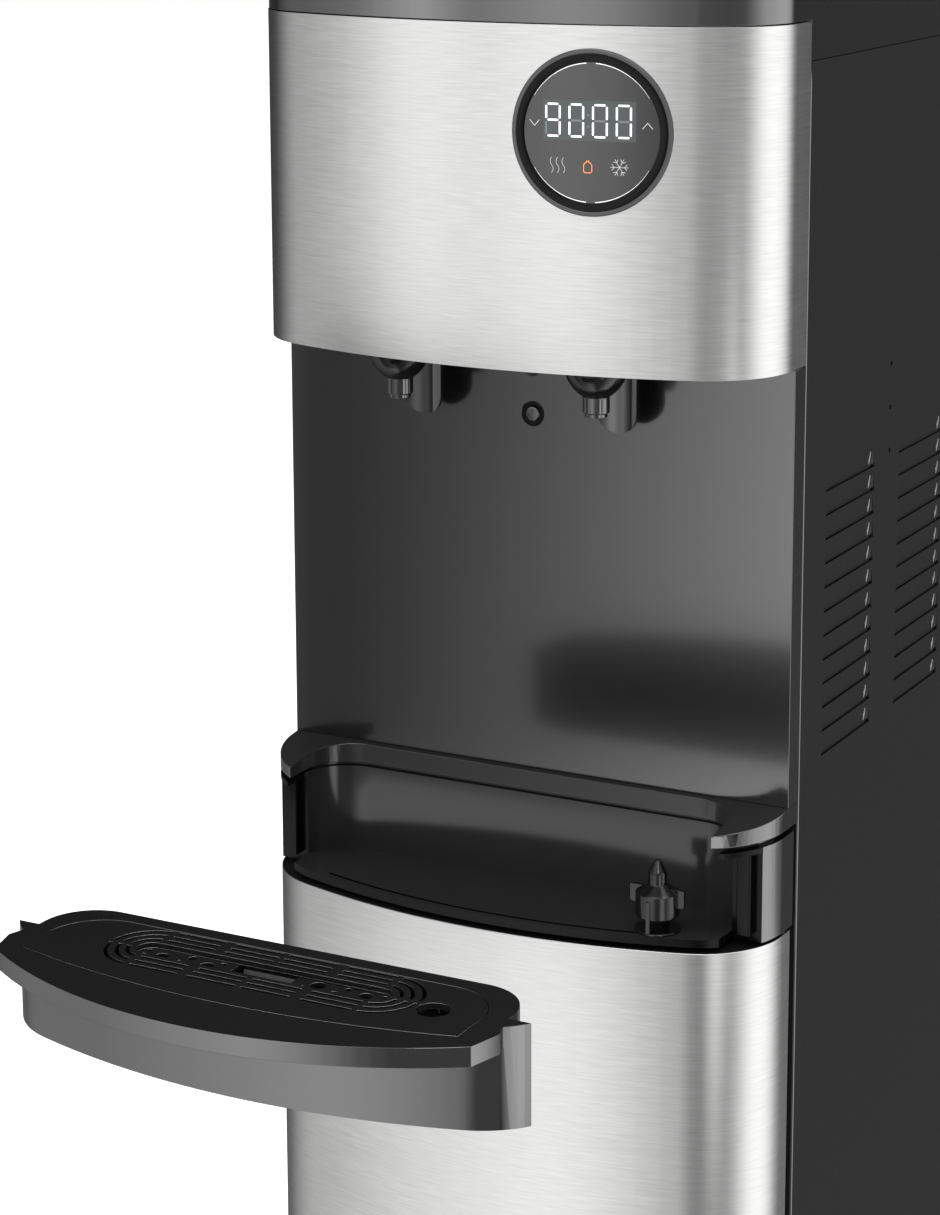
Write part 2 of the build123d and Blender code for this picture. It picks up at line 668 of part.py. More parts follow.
def paddle(x):
    """Curved tongue with a rounded end, hung from a knuckle."""
    y = ahead(PADDLE_AHEAD)
    low = FASCIA_BOTTOM - PADDLE_DROP
    centre = Pos(x, y - PADDLE_CURVE, 0)
    ring = centre * (Circle(PADDLE_CURVE + PADDLE_THICK / 2) - Circle(PADDLE_CURVE - PADDLE_THICK / 2))
    strip = prism(ring, low, PIVOT_Z)
    strip &= block(x - PADDLE_HALF, x + PADDLE_HALF, y - PADDLE_CURVE / 2, y + PADDLE_CURVE, low, PIVOT_Z)
    below = rod_y(x, y - PADDLE_CURVE, y + PADDLE_CURVE, low + PADDLE_HALF, PADDLE_HALF)
    above = block(x - PADDLE_HALF, x + PADDLE_HALF, y - PADDLE_CURVE, y + PADDLE_CURVE,
                  low + PADDLE_HALF, PIVOT_Z)
    strip &= below + above
    tongue = strip + rod_x(x - PADDLE_HALF, x + PADDLE_HALF, y, PIVOT_Z, KNUCKLE_R)
    reach = PADDLE_HALF + 1
    return tongue - rod_x(x - reach, x + reach, y, PIVOT_Z, PADDLE_PIN_R + PIN_CLEAR)


def paddle_pins():
    """Hinge pin of each paddle, held in the lugs of the frame."""
    reach = PADDLE_HALF + PADDLE_PLAY + LUG
    return [rod_x(x - reach, x + reach, ahead(PADDLE_AHEAD), PIVOT_Z, PADDLE_PIN_R) for x in (-TAP_X, TAP_X)]


def paddle_switches():
    """Small switch behind each paddle's knuckle, standing on a foot across the slot's back edge."""
    y = ahead(PADDLE_AHEAD - KNUCKLE_R - SWITCH_GAP)
    half = PADDLE_HALF - LUG
    foot_end = ahead(PADDLE_AHEAD - 2 * PADDLE_ROOM) + SWITCH_FOOT
    return [block(x - half, x + half, y, foot_end, PLATE_TOP, PIVOT_Z + PADDLE_PIN_R)
            for x in (-TAP_X, TAP_X)]


# Tray bay, tray, grille and float
def tray_collar():
    """Gloss collar round the tray bay, its top falling towards the two pointed arms."""
    collar = prism(front_plan(0, ahead(SEAM)), COLLAR_BOTTOM, COLLAR_TOP)
    opening = rounded_back(COLLAR_HALF, ahead(COLLAR_AHEAD), COLLAR_CORNER)
    collar -= prism(opening, COLLAR_BOTTOM - 1, COLLAR_TOP + 1)
    arm_y = ahead(BOW_REACH)
    fall = (COLLAR_BACK - COLLAR_FRONT) * (BOW_REACH - NICHE_AHEAD) / COLLAR_FALL
    start = ahead(NICHE_AHEAD)
    wedge = make_face(Polyline((start, COLLAR_TOP), (arm_y, COLLAR_TOP - fall), (arm_y, COLLAR_TOP + 1),
                               (start, COLLAR_TOP + 1), close=True))
    return collar - Pos(-WIDTH, 0, 0) * extrude(Plane.YZ * wedge, 2 * WIDTH)


def bay_housing():
    """Tray bay: two posts, back wall, floor with a grooved front lip, and a step that carries the collar."""
    housing = prism(front_plan(0, ahead(BAY_REAR)), BAY_BOTTOM, BAY_TOP)
    housing += prism(front_plan(SEAM_DEPTH, ahead(BAY_REAR)), BAY_TOP - 1, COLLAR_BOTTOM)
    cavity = rounded_back(TRAY_HALF + TRAY_CLEAR, ahead(TRAY_BACK - TRAY_CLEAR), TRAY_CORNER + TRAY_CLEAR)
    housing -= prism(cavity, FLOOR_TOP, COLLAR_BOTTOM + 1)
    ear = EAR_HALF + TRAY_CLEAR
    ear_back = ahead(EAR_AHEAD - TRAY_CLEAR)
    for side in (-1, 1):
        housing -= block(side * TRAY_HALF, side * ear, ear_back - FAR, ear_back, BAY_BOTTOM - 1,
                         TRAY_TOP + TRAY_CLEAR)
    skirt_room = front_shell(-1, BAY_LIP_SETBACK, ahead(BAY_REAR), BAY_BOTTOM - 1, FLOOR_TOP + 1)
    housing -= skirt_room & block(-ear, ear, ear_back - FAR, ear_back, BAY_BOTTOM - 1, FLOOR_TOP + 1)
    groove = front_shell(2 * BAY_LIP_SETBACK, 2 * BAY_LIP_SETBACK + BAY_GROOVE, ahead(BAY_REAR),
                         FLOOR_TOP - BAY_GROOVE_DEPTH, FLOOR_TOP + 1)
    groove_half = TRAY_HALF - TRAY_CORNER
    housing -= groove & block(-groove_half, groove_half, ear_back - FAR, ear_back, BAY_BOTTOM, FLOOR_TOP + 1)
    x, y = hinge_place()
    return housing - post(x, y, BAY_BOTTOM - 1, BAY_BOTTOM + HINGE_PIN_GRIP, HINGE_PIN_R)


def grille_plan(grow):
    """Plan of the grille at home, grown by a margin: straight back, rounded corners, bowed front."""
    half = GRILLE_HALF + grow
    back = ahead(GRILLE_BACK) + grow
    side_front = ahead(GRILLE_FRONT - GRILLE_BOW) - grow
    front = ahead(GRILLE_FRONT) - grow
    face = make_face([
        Polyline((half, side_front), (half, back), (-half, back), (-half, side_front)),
        ThreePointArc((-half, side_front), (0, front), (half, side_front)),
    ])
    return fillet(face.vertices().group_by(Axis.Y)[-1], GRILLE_CORNER + grow)


def lip_plan():
    """Plan of the crescent lip in front of the tray, at home."""
    root = ahead(EAR_AHEAD + 2)
    right = (LIP_HALF, ahead(LIP_END_AHEAD))
    left = (-LIP_HALF, ahead(LIP_END_AHEAD))
    return make_face([
        Polyline(left, (-LIP_ROOT_HALF, ahead(LIP_ROOT_AHEAD)), (-TRAY_HALF, root), (TRAY_HALF, root),
                 (LIP_ROOT_HALF, ahead(LIP_ROOT_AHEAD)), right),
        ThreePointArc(right, (0, ahead(LIP_REACH)), left),
    ])


def float_slot(top):
    """Slot in the tray's back wall that the float passes through: wide for its wings, narrow for its tip."""
    wide = FLOAT_SPAN + FLOAT_PLAY
    narrow = FLOAT_TIP_R + 2 * FLOAT_PLAY
    back = ahead(TRAY_BACK + TRAY_WALL + 1)
    step = FLOOR_TOP + FLOAT_WING[1] + FLOAT_PLAY
    slot = block(FLOAT_X - wide, FLOAT_X + wide, back, REAR, BAY_BOTTOM, step)
    return slot + block(FLOAT_X - narrow, FLOAT_X + narrow, back, REAR, BAY_BOTTOM, top)


def drip_tray():
    """Drawn-out tray: bowed front wall, basin, open well over the float, lip and grille rebate."""
    skirt = BAY_BOTTOM - BAY_GAP + TRAY_SKIRT_GAP
    deck = TRAY_TOP - TRAY_DECK
    body = prism(rounded_back(TRAY_HALF, ahead(TRAY_BACK), TRAY_CORNER), TRAY_BASE, TRAY_TOP)
    body &= prism(front_plan(0, REAR), TRAY_BASE, TRAY_TOP)
    ears = block(-EAR_HALF, EAR_HALF, ahead(EAR_AHEAD) - FAR, ahead(EAR_AHEAD), skirt, TRAY_TOP)
    tray = body + (front_shell(0, TRAY_WALL, REAR, skirt, TRAY_TOP) & ears)
    tray += prism(front_plan(0, REAR), deck, TRAY_TOP) & ears
    tray += prism(lip_plan(), TRAY_TOP - LIP_HEIGHT, TRAY_TOP)
    inside = rounded_back(TRAY_HALF - TRAY_WALL, ahead(TRAY_BACK + TRAY_WALL), TRAY_CORNER - TRAY_WALL)
    basin = prism(inside, TRAY_BASE + TRAY_FLOOR, deck) & prism(front_plan(TRAY_WALL, REAR), TRAY_BASE, deck)
    well_left = FLOAT_X - FLOAT_SPAN - FLOAT_PLAY
    tray -= basin - block(well_left - TRAY_WALL, HALF, ahead(FAR), REAR, TRAY_BASE, TRAY_TOP)
    well = prism(front_plan(TRAY_WALL, REAR), skirt - 1, deck) & prism(inside, skirt - 1, deck)
    tray -= well & block(well_left, TRAY_HALF - TRAY_WALL, ahead(FAR), REAR, skirt - 1, deck)
    tray -= float_slot(deck)
    overflow_z = deck - GRILLE_THICK
    tray -= block(well_left - 2 * TRAY_WALL, well_left + 1, ahead(FLOAT_AHEAD + OVERFLOW_HALF),
                  ahead(FLOAT_AHEAD - OVERFLOW_HALF), overflow_z - TRAY_DECK, overflow_z)
    mouth = prism(grille_plan(-GRILLE_LEDGE), deck - 1, TRAY_TOP + 1)
    mouth &= prism(front_plan(TRAY_WALL, REAR), deck - 1, TRAY_TOP + 1)
    tray -= mouth
    tray -= prism(grille_plan(0), TRAY_TOP - GRILLE_THICK, TRAY_TOP + 1)
    return Pos(0, -TRAY_PULL, 0) * tray


def stadium(radius):
    """Plan of a stadium along X, centred on the grille."""
    face = SlotCenterToCenter(2 * SLOT_HALF, 2 * radius)
    return Pos(0, ahead(GRILLE_CENTRE), 0) * face


def grille_slots():
    """Three rings of slots, cut into lengths by narrow and wide bridges."""
    low = TRAY_TOP - GRILLE_THICK - 1
    slots = []
    for row in SLOT_ROWS:
        ring = prism(stadium(row + SLOT_WIDTH / 2) - stadium(row - SLOT_WIDTH / 2), low, TRAY_TOP + 1)
        for x in (0, -SLOT_HALF, SLOT_HALF):
            ring -= block(x - SLOT_GAP, x + SLOT_GAP, ahead(FAR), REAR, low, TRAY_TOP + 1)
        for x in (-SLOT_HALF / 2, SLOT_HALF / 2):
            ring -= block(x - SLOT_WIDE_GAP, x + SLOT_WIDE_GAP, ahead(FAR), REAR, low, TRAY_TOP + 1)
        for side in (-1, 1):
            ring -= block(0, side * HALF, ahead(GRILLE_CENTRE + SLOT_GAP), ahead(GRILLE_CENTRE - SLOT_GAP),
                          low, TRAY_TOP + 1)
        ring -= post(FLOAT_X, ahead(FLOAT_AHEAD), low, TRAY_TOP + 1, FLOAT_HOLE_R + SLOT_WIDTH)
        slots.append(ring)
    return slots


def trough_holes():
    """Drain holes of mixed sizes in the trough, as x, offset towards the back, and radius."""
    room = SLOT_HALF - FINGER_HALF
    half = [(FINGER_HALF + share * room, offset, radius) for share, offset, radius in TROUGH_HOLES]
    return half + [(-x, -offset, radius) for x, offset, radius in half]


def drip_grille():
    """Inset plate with rings of slots, a sunken trough with drain holes, a finger hole and a float hole."""
    under = TRAY_TOP - GRILLE_THICK
    plate = prism(grille_plan(-GRILLE_CLEAR), under, TRAY_TOP)
    plate += prism(stadium(TROUGH_R + TROUGH_WALL), TRAY_TOP - TROUGH_DEPTH - TROUGH_FLOOR, TRAY_TOP - 1)
    plate -= prism(stadium(TROUGH_R), TRAY_TOP - TROUGH_DEPTH, TRAY_TOP + 1)
    plate -= grille_slots()
    y = ahead(GRILLE_CENTRE)
    plate -= block(-FINGER_HALF, FINGER_HALF, y - FINGER_REACH, y + FINGER_REACH, under - FAR, TRAY_TOP + 1)
    for x, offset, radius in trough_holes():
        plate -= post(x, y + offset, under - TROUGH_DEPTH, TRAY_TOP + 1, radius)
    plate -= post(FLOAT_X, ahead(FLOAT_AHEAD), under - 1, TRAY_TOP + 1, FLOAT_HOLE_R)
    return Pos(0, -TRAY_PULL, 0) * plate


def float_guide():
    """Round seat on the bay floor with the pin that the float slides on."""
    y = ahead(FLOAT_AHEAD)
    seat = post(FLOAT_X, y, FLOOR_TOP, FLOOR_TOP + FLOAT_SEAT, FLOAT_SEAT_R)
    return seat + post(FLOAT_X, y, FLOOR_TOP, FLOOR_TOP + FLOAT_PIN_RISE, FLOAT_PIN_R)


def float_indicator():
    """Float with a pointed tip, a sloping shoulder, two side wings and two legs, bored for its pin."""
    drum_low, drum_top = FLOAT_DRUM
    foot = FLOAT_SEAT + FLOAT_LIFT
    outline = Polyline((0, drum_low), (FLOAT_R - FLOAT_DRUM_EDGE, drum_low),
                       (FLOAT_R, drum_low + FLOAT_DRUM_EDGE), (FLOAT_R, drum_top),
                       (FLOAT_TIP_R, FLOAT_NECK), (FLOAT_TIP_R, FLOAT_TIP_RISE),
                       (FLOAT_TIP_TOP_R, FLOAT_HEIGHT), (0, FLOAT_HEIGHT), close=True)
    body = revolve(Plane.XZ * make_face(outline), Axis.Z)
    fin = FLOAT_FIN / 2
    wing = block(-FLOAT_SPAN, FLOAT_SPAN, -fin, fin, *FLOAT_WING)
    wing = fillet(wing.edges().filter_by(Axis.Y).group_by(Axis.Z)[0], FLOAT_WING_EDGE)
    leg = block(-fin, fin, -FLOAT_LEG, FLOAT_LEG, foot, drum_top - FLOAT_FIN)
    gap = FLOAT_LEG - FLOAT_LEG_DEPTH
    leg -= block(-FLOAT_FIN, FLOAT_FIN, -gap, gap, foot - 1, drum_low + FLOAT_FIN)
    bore = post(0, 0, foot - 1, FLOAT_BORE_RISE, FLOAT_PIN_R + PIN_CLEAR)
    return Pos(FLOAT_X, ahead(FLOAT_AHEAD), FLOOR_TOP) * (body + wing + leg - bore)


# Bottle door and cabinet
def hinge_place():
    """Centre of the door's hinge line, on the left."""
    return HINGE_INSET - HALF, ahead(HINGE_AHEAD)


def door_skin():
    """Bowed steel skin of the bottle door."""
    return front_shell(0, SKIN, ahead(DOOR_BACK), DOOR_BOTTOM, DOOR_TOP)


def magnet_box(grow):
    """Room of the door magnet in the liner's rim, on the free side."""
    x = GASKET_HALF - GASKET_WIDTH / 2
    mid = (DOOR_BOTTOM + DOOR_TOP) / 2
    return block(x - GASKET_WIDTH / 2, x + GASKET_WIDTH / 2, ahead(RIM_BACK + MAGNET_THICK),
                 ahead(RIM_BACK) + grow, mid - MAGNET_HEIGHT / 2, mid + MAGNET_HEIGHT / 2)


def door_liner():
    """Moulded inside of the door: a bowed wall closed at the top and bottom, bored for the hinge pins."""
    low = DOOR_BOTTOM + SKIN
    top = DOOR_TOP - SKIN
    liner = front_shell(SKIN, DOOR_THICK, ahead(RIM_BACK), low, top)
    for z in (low, top - DOOR_CAP):
        liner += prism(front_plan(SKIN, ahead(RIM_BACK)), z, z + DOOR_CAP)
    x, y = hinge_place()
    boss = HINGE_PIN_R + BASE_WALL
    for z in (low, top - HINGE_PIN_GRIP):
        liner += post(x, y, z, z + HINGE_PIN_GRIP, boss)
        liner -= post(x, y, z - 1, z + HINGE_PIN_GRIP + 1, HINGE_PIN_R + PIN_CLEAR)
    liner -= block(-HALF, HALF, ahead(RIM_BACK), FRONT, low - 1, top + 1)
    return liner - magnet_box(1)


def door_magnet():
    """Flat magnet in the free side of the door."""
    return magnet_box(0)


def door_gasket():
    """Flat seal round the back of the door."""
    inner = GASKET_HALF - GASKET_WIDTH
    low = DOOR_BOTTOM + SKIN
    top = DOOR_TOP - SKIN
    back = ahead(FRAME_DEPTH + GASKET_GAP)
    ring = block(-GASKET_HALF, GASKET_HALF, ahead(RIM_BACK), back, low, top)
    ring -= block(-inner, inner, ahead(RIM_BACK) - 1, back + 1, low + GASKET_WIDTH, top - GASKET_WIDTH)
    x, y = hinge_place()
    relief = HINGE_PIN_R + BASE_WALL
    for z in (low, top - HINGE_PIN_GRIP):
        ring -= post(x, y, z - 1, z + HINGE_PIN_GRIP + 1, relief)
    return ring


def hinge_pins():
    """Lower pin in the base and upper pin in the tray bay's post."""
    x, y = hinge_place()
    lower = post(x, y, BASE_TOP - HINGE_PIN_GRIP, DOOR_BOTTOM + HINGE_PIN_GRIP - SKIN, HINGE_PIN_R)
    upper = post(x, y, DOOR_TOP - HINGE_PIN_GRIP + SKIN, BAY_BOTTOM + HINGE_PIN_GRIP, HINGE_PIN_R)
    return [lower, upper]


def hinge_bush():
    """Washer on the lower pin that the door stands on."""
    x, y = hinge_place()
    top = DOOR_BOTTOM + SKIN
    ring = post(x, y, BASE_TOP, top - PIN_CLEAR, HINGE_PIN_R + 2 * SKIN)
    return ring - post(x, y, BASE_TOP - 1, top + 1, HINGE_PIN_R)


def cabinet_frame():
    """Frame round the door opening, in front of the side panels' flanges."""
    frame = block(-FRAME_HALF, FRAME_HALF, ahead(FRAME_DEPTH), FRONT, BASE_TOP, BAY_BOTTOM)
    inner = FRAME_HALF - FRAME_BAR
    return frame - block(-inner, inner, ahead(FRAME_DEPTH + 1), FRONT + 1, BASE_TOP + FRAME_BAR / 2,
                         BAY_BOTTOM - FRAME_BAR)


def bottle_platform():
    """Floor of the bottle space with a raised rim round the bottle."""
    front = behind(SHEET + SLIP)
    back = REAR - 2 * SHEET - SLIP
    plate = block(-INSIDE_HALF, INSIDE_HALF, front, back, BASE_TOP, BASE_TOP + PLATFORM)
    top = BASE_TOP + PLATFORM
    rim = post(0, behind(BOTTLE_BACK), top, top + BOTTLE_RIM_HEIGHT, BOTTLE_R + BOTTLE_RIM)
    rim -= post(0, behind(BOTTLE_BACK), top - 1, top + BOTTLE_RIM_HEIGHT + 1, BOTTLE_R)
    return plate + (rim & block(-INSIDE_HALF, INSIDE_HALF, behind(BOTTLE_BACK), back, top - 1, HEIGHT))


def deck(top):
    """Steel shelf between the side panels, with side flanges turned down."""
    front = behind(SHEET + SLIP)
    back = REAR - 2 * SHEET - SLIP
    plate = block(-INSIDE_HALF, INSIDE_HALF, front, back, top - SHELF, top)
    for side in (-1, 1):
        plate += block(side * INSIDE_HALF, side * (INSIDE_HALF - SHEET), front, back, top - FLANGE, top)
    return plate


def mid_shelf():
    """Shelf over the bottle space, with a hole for the probe's hose."""
    hole = post(PROBE_X, behind(PROBE_BACK), SHELF_TOP - FLANGE, SHELF_TOP + 1, HOSE_R + SLIP)
    return deck(SHELF_TOP) - hole


def tank_deck():
    """Shelf under the two tanks."""
    return deck(DECK_TOP)


def grommet_places():
    """Centres of the compressor's four rubber feet."""
    return [(COMPRESSOR_X + sx * 0.75 * COMPRESSOR_R, behind(MACHINE_BACK) + sy * 0.75 * COMPRESSOR_R)
            for sx in (-1, 1) for sy in (-1, 1)]


def compressor_grommets():
    """Rubber feet of the compressor."""
    return [post(x, y, SHELF_TOP, SHELF_TOP + GROMMET_HEIGHT, GROMMET_R) for x, y in grommet_places()]


def compressor():
    """Domed compressor on its foot plate, with a terminal box."""
    y = behind(MACHINE_BACK)
    foot = SHELF_TOP + GROMMET_HEIGHT
    low = foot + COMPRESSOR_PLATE
    plate = block(COMPRESSOR_X - COMPRESSOR_R, COMPRESSOR_X + COMPRESSOR_R, y - COMPRESSOR_R, y + COMPRESSOR_R,
                  foot, low)
    shell = post(COMPRESSOR_X, y, low, low + COMPRESSOR_HEIGHT, COMPRESSOR_R)
    shell = fillet(shell.edges().group_by(Axis.Z)[-1], 0.6 * COMPRESSOR_R)
    box_half, box_reach, box_low, box_top = TERMINAL_BOX
    box = block(COMPRESSOR_X - box_half, COMPRESSOR_X + box_half, y - COMPRESSOR_R - box_reach, y, low + box_low,
                low + box_top)
    return plate + shell + box


def tank(x, radius):
    """Closed steel tank."""
    y = behind(MACHINE_BACK)
    low = DECK_TOP + HOT_JACKET
    outer = post(x, y, low, low + TANK_HEIGHT, radius)
    return outer - post(x, y, low + TANK_WALL, low + TANK_HEIGHT - TANK_WALL, radius - TANK_WALL)


def jacket(x, radius, wall):
    """Foam jacket round a tank, standing on the tank deck, with a hole for the outlet tube."""
    y = behind(MACHINE_BACK)
    low = DECK_TOP
    top = DECK_TOP + 2 * HOT_JACKET + TANK_HEIGHT
    return post(x, y, low, top, radius + wall) - post(x, y, low + HOT_JACKET, top - HOT_JACKET, radius)


def outlet_tubes():
    """Hose from each tank's jacket to its tap valve."""
    z = PLATE_TOP + TAP_FLANGE + TUBE_RISE
    start = ahead(TAP_AHEAD) + VALVE_R + TUBE_RISE
    tubes = []
    for x, tank_x, radius in ((-TAP_X, HOT_TANK_X, HOT_TANK_R + HOT_JACKET),
                              (TAP_X, COLD_TANK_X, COLD_TANK_R + COLD_JACKET)):
        y = behind(MACHINE_BACK)
        tube = rod_y(x, start, y, z, TUBE_R) - rod_y(x, start - 1, y + 1, z, TUBE_BORE)
        tubes.append(tube - post(tank_x, y, DECK_TOP, HEIGHT, radius))
    return tubes


def water_pump():
    """Pump on short rubber legs over the hole in the shelf, with its inlet below."""
    width, depth, height = PUMP_SIZE
    y = behind(PROBE_BACK)
    low = SHELF_TOP + PUMP_LIFT
    pump = block(PROBE_X - width / 2, PROBE_X + width / 2, y - depth / 2, y + depth / 2, low, low + height)
    for sx in (-1, 1):
        for sy in (-1, 1):
            pump += post(PROBE_X + sx * width / 3, y + sy * depth / 3, SHELF_TOP, low, PUMP_LIFT)
    return pump


def probe_top():
    """Top of the hanging probe's cap."""
    return SHELF_TOP - PROBE_HANG


def probe_hose():
    """Hose from the probe's cap up through the shelf to the pump."""
    y = behind(PROBE_BACK)
    hose = post(PROBE_X, y, probe_top(), SHELF_TOP + PUMP_LIFT, HOSE_R)
    return hose - post(PROBE_X, y, probe_top() - 1, SHELF_TOP + PUMP_LIFT + 1, TUBE_BORE)


def bottle_probe():
    """Dip tube with its bottle cap, hung up in the back corner of the bottle space."""
    y = behind(PROBE_BACK)
    top = probe_top()
    cap = post(PROBE_X, y, top - PROBE_CAP_HEIGHT, top, PROBE_CAP_R)
    cap = chamfer(cap.edges().group_by(Axis.Z)[-1], 4)
    stem = post(PROBE_X, y, top - PROBE_LENGTH, top - PROBE_CAP_HEIGHT, PROBE_R)
    return cap + stem


def probe_clip():
    """Clip on the back panel that the probe's cap hangs in."""
    y = behind(PROBE_BACK)
    z = probe_top() - PROBE_CAP_HEIGHT
    reach = PROBE_R + 2 * BASE_WALL
    plate = block(PROBE_X - reach, PROBE_X + reach, y - reach, REAR - SHEET, z - BASE_WALL, z)
    return plate - post(PROBE_X, y, z - BASE_WALL - 1, z + 1, PROBE_R)


# Back of the cabinet
def switch_places():
    """X of the three rocker switches."""
    return [SWITCH_X + step * SWITCH_PITCH for step in (-1, 0, 1)]


def switch_plate():
    """Plate with three windows, whose sides carry the rockers' pivots."""
    width, height, thick = SWITCH_PLATE
    plate = block(SWITCH_X - width / 2, SWITCH_X + width / 2, REAR, REAR + thick,
                  SWITCH_Z - height / 2, SWITCH_Z + height / 2)
    half = ROCKER[0] / 2 + ROCKER_GAP
    for x in switch_places():
        plate -= block(x - half, x + half, REAR - 1, REAR + thick + 1, SWITCH_Z - ROCKER_R - ROCKER_GAP,
                       SWITCH_Z + ROCKER_R + ROCKER_GAP)
        reach = half + ROCKER_PIN
        plate -= rod_x(x - reach, x + reach, REAR + thick / 2, SWITCH_Z, ROCKER_PIN_R + PIN_CLEAR)
    return plate


def rocker(x):
    """Rocker with rounded ends about its pivot, and a pivot stub on each side."""
    y = REAR + SWITCH_PLATE[2] / 2
    half = ROCKER[0] / 2
    body = rod_x(x - half, x + half, y, SWITCH_Z, ROCKER_R)
    body &= block(x - half, x + half, y - ROCKER_DEPTH / 2, y + ROCKER_DEPTH / 2, SWITCH_Z - ROCKER[1] / 2,
                  SWITCH_Z + ROCKER[1] / 2)
    reach = half + ROCKER_PIN
    return body + rod_x(x - reach, x + reach, y, SWITCH_Z, ROCKER_PIN_R)


def power_inlet():
    """Flanged inlet for a detachable cord, with an open mouth."""
    width, height, depth = INLET
    inlet = block(INLET_X - width / 2, INLET_X + width / 2, REAR, REAR + INLET_FLANGE,
                  INLET_Z - height / 2, INLET_Z + height / 2)
    half, rise = width / 2 - WINDOW_LAP[1], height / 2 - WINDOW_LAP[2]
    inlet += block(INLET_X - half, INLET_X + half, REAR - depth, REAR, INLET_Z - rise, INLET_Z + rise)
    mouth_x, mouth_z = INLET_MOUTH
    return inlet - block(INLET_X - mouth_x / 2, INLET_X + mouth_x / 2, REAR + INLET_FLANGE - INLET_DEPTH,
                         REAR + INLET_FLANGE + 1, INLET_Z - mouth_z / 2, INLET_Z + mouth_z / 2)


def drain_cap():
    """Screw cap of the drain, with its stub through the back panel."""
    cap = rod_y(DRAIN_X, REAR, REAR + DRAIN_LENGTH, DRAIN_Z, DRAIN_R)
    cap = chamfer(cap.edges().group_by(Axis.Y)[-1], 2)
    return cap + rod_y(DRAIN_X, REAR - 3 * DRAIN_LENGTH, REAR, DRAIN_Z, DRAIN_R / 2)


def coil_y():
    """Y of the condenser's plane."""
    return REAR + COIL_STANDOFF


def condenser_coil():
    """Serpentine condenser tube."""
    points = []
    for run in range(COIL_RUNS):
        z = COIL_BOTTOM + run * COIL_PITCH
        ends = [(-COIL_HALF, coil_y(), z), (COIL_HALF, coil_y(), z)]
        points += ends if run % 2 == 0 else ends[::-1]
    path = FilletPolyline(*points, radius=COIL_PITCH * 0.49)
    return sweep(Plane(points[0], z_dir=(1, 0, 0)) * Circle(COIL_TUBE_R), path)


def condenser_wires():
    """Upright wires on both faces of the condenser tube."""
    low = COIL_BOTTOM - COIL_PITCH / 3
    top = COIL_BOTTOM + (COIL_RUNS - 1) * COIL_PITCH + COIL_PITCH / 3
    offset = COIL_TUBE_R + WIRE_TOUCH + WIRE_R
    first = -WIRE_PITCH * (WIRE_COUNT - 1) / 2
    return [post(first + step * WIRE_PITCH, coil_y() + side * offset, low, top, WIRE_R)
            for step in range(WIRE_COUNT) for side in (-1, 1)]


def condenser_brackets():
    """Four blocks that hold the top and bottom runs of the tube off the back panel."""
    width, depth = BRACKET
    brackets = []
    for z in (COIL_BOTTOM, COIL_BOTTOM + (COIL_RUNS - 1) * COIL_PITCH):
        for x in (-BRACKET_X, BRACKET_X):
            holder = block(x - width / 2, x + width / 2, REAR, REAR + depth, z - width / 2, z + width / 2)
            brackets.append(holder - rod_x(x - width, x + width, coil_y(), z, COIL_TUBE_R + WIRE_TOUCH))
    return brackets


ROCKERS = dict(zip(("hot_switch", "cold_switch", "light_switch"), switch_places()))

PIECES = {
    "base_plinth": base_plinth(),
    "levelling_feet": levelling_feet(),
    "left_side_panel": left_side_panel(),
    "right_side_panel": right_side_panel(),
    "back_panel": back_panel(),
    "panel_screws": panel_screws(),
    "top_cover": top_cover(),
    "fascia_skin": fascia_skin(),
    "fascia_frame": fascia_frame(),
    "display_bezel": display_bezel(),
    "display_lens": display_lens(),
    "display_board": display_board(),
    "niche_panel": niche_panel(),
    "night_light": night_light(),
    "button_bezel": button_bezel(),
    "lock_button": lock_button(),
    "hot_tap": tap(-TAP_X),
    "cold_tap": tap(TAP_X),
    "tap_valves": tap_valves(),
    "hot_paddle": paddle(-TAP_X),
    "cold_paddle": paddle(TAP_X),
    "paddle_pins": paddle_pins(),
    "paddle_switches": paddle_switches(),
    "tray_collar": tray_collar(),
    "bay_housing": bay_housing(),
    "float_guide": float_guide(),
    "float_indicator": float_indicator(),
    "drip_tray": drip_tray(),
    "drip_grille": drip_grille(),
    "door_skin": door_skin(),
    "door_liner": door_liner(),
    "door_gasket": door_gasket(),
    "door_magnet": door_magnet(),
    "hinge_pins": hinge_pins(),
    "hinge_bush": hinge_bush(),
    "cabinet_frame": cabinet_frame(),
    "bottle_platform": bottle_platform(),
    "mid_shelf": mid_shelf(),
    "tank_deck": tank_deck(),
    "compressor": compressor(),
    "compressor_grommets": compressor_grommets(),
    "hot_tank": tank(HOT_TANK_X, HOT_TANK_R),
    "hot_tank_jacket": jacket(HOT_TANK_X, HOT_TANK_R, HOT_JACKET),
    "cold_tank": tank(COLD_TANK_X, COLD_TANK_R),
    "cold_tank_jacket": jacket(COLD_TANK_X, COLD_TANK_R, COLD_JACKET),
    "outlet_tubes": outlet_tubes(),
    "water_pump": water_pump(),
    "probe_hose": probe_hose(),
    "bottle_probe": bottle_probe(),
    "probe_clip": probe_clip(),
    "switch_plate": switch_plate(),
    "power_inlet": power_inlet(),
    "drain_cap": drain_cap(),
    "condenser_coil": condenser_coil(),
    "condenser_wires": condenser_wires(),
    "condenser_brackets": condenser_brackets(),
}
PIECES.update({name: rocker(x) for name, x in ROCKERS.items()})

os.makedirs("parts", exist_ok=True)
for name, shape in PIECES.items():
    solids = shape if isinstance(shape, list) else shape.solids()
    piece = Compound(children=[solid for item in solids for solid in item.solids()])
    export_step(piece, f"parts/{name}.step")
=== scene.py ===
"""Looks of a bottom-loading water dispenser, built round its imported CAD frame."""

import json
import math

import bmesh
import bpy
from bpy.props import FloatProperty, FloatVectorProperty, PointerProperty, StringProperty
from mathutils import Matrix, Vector

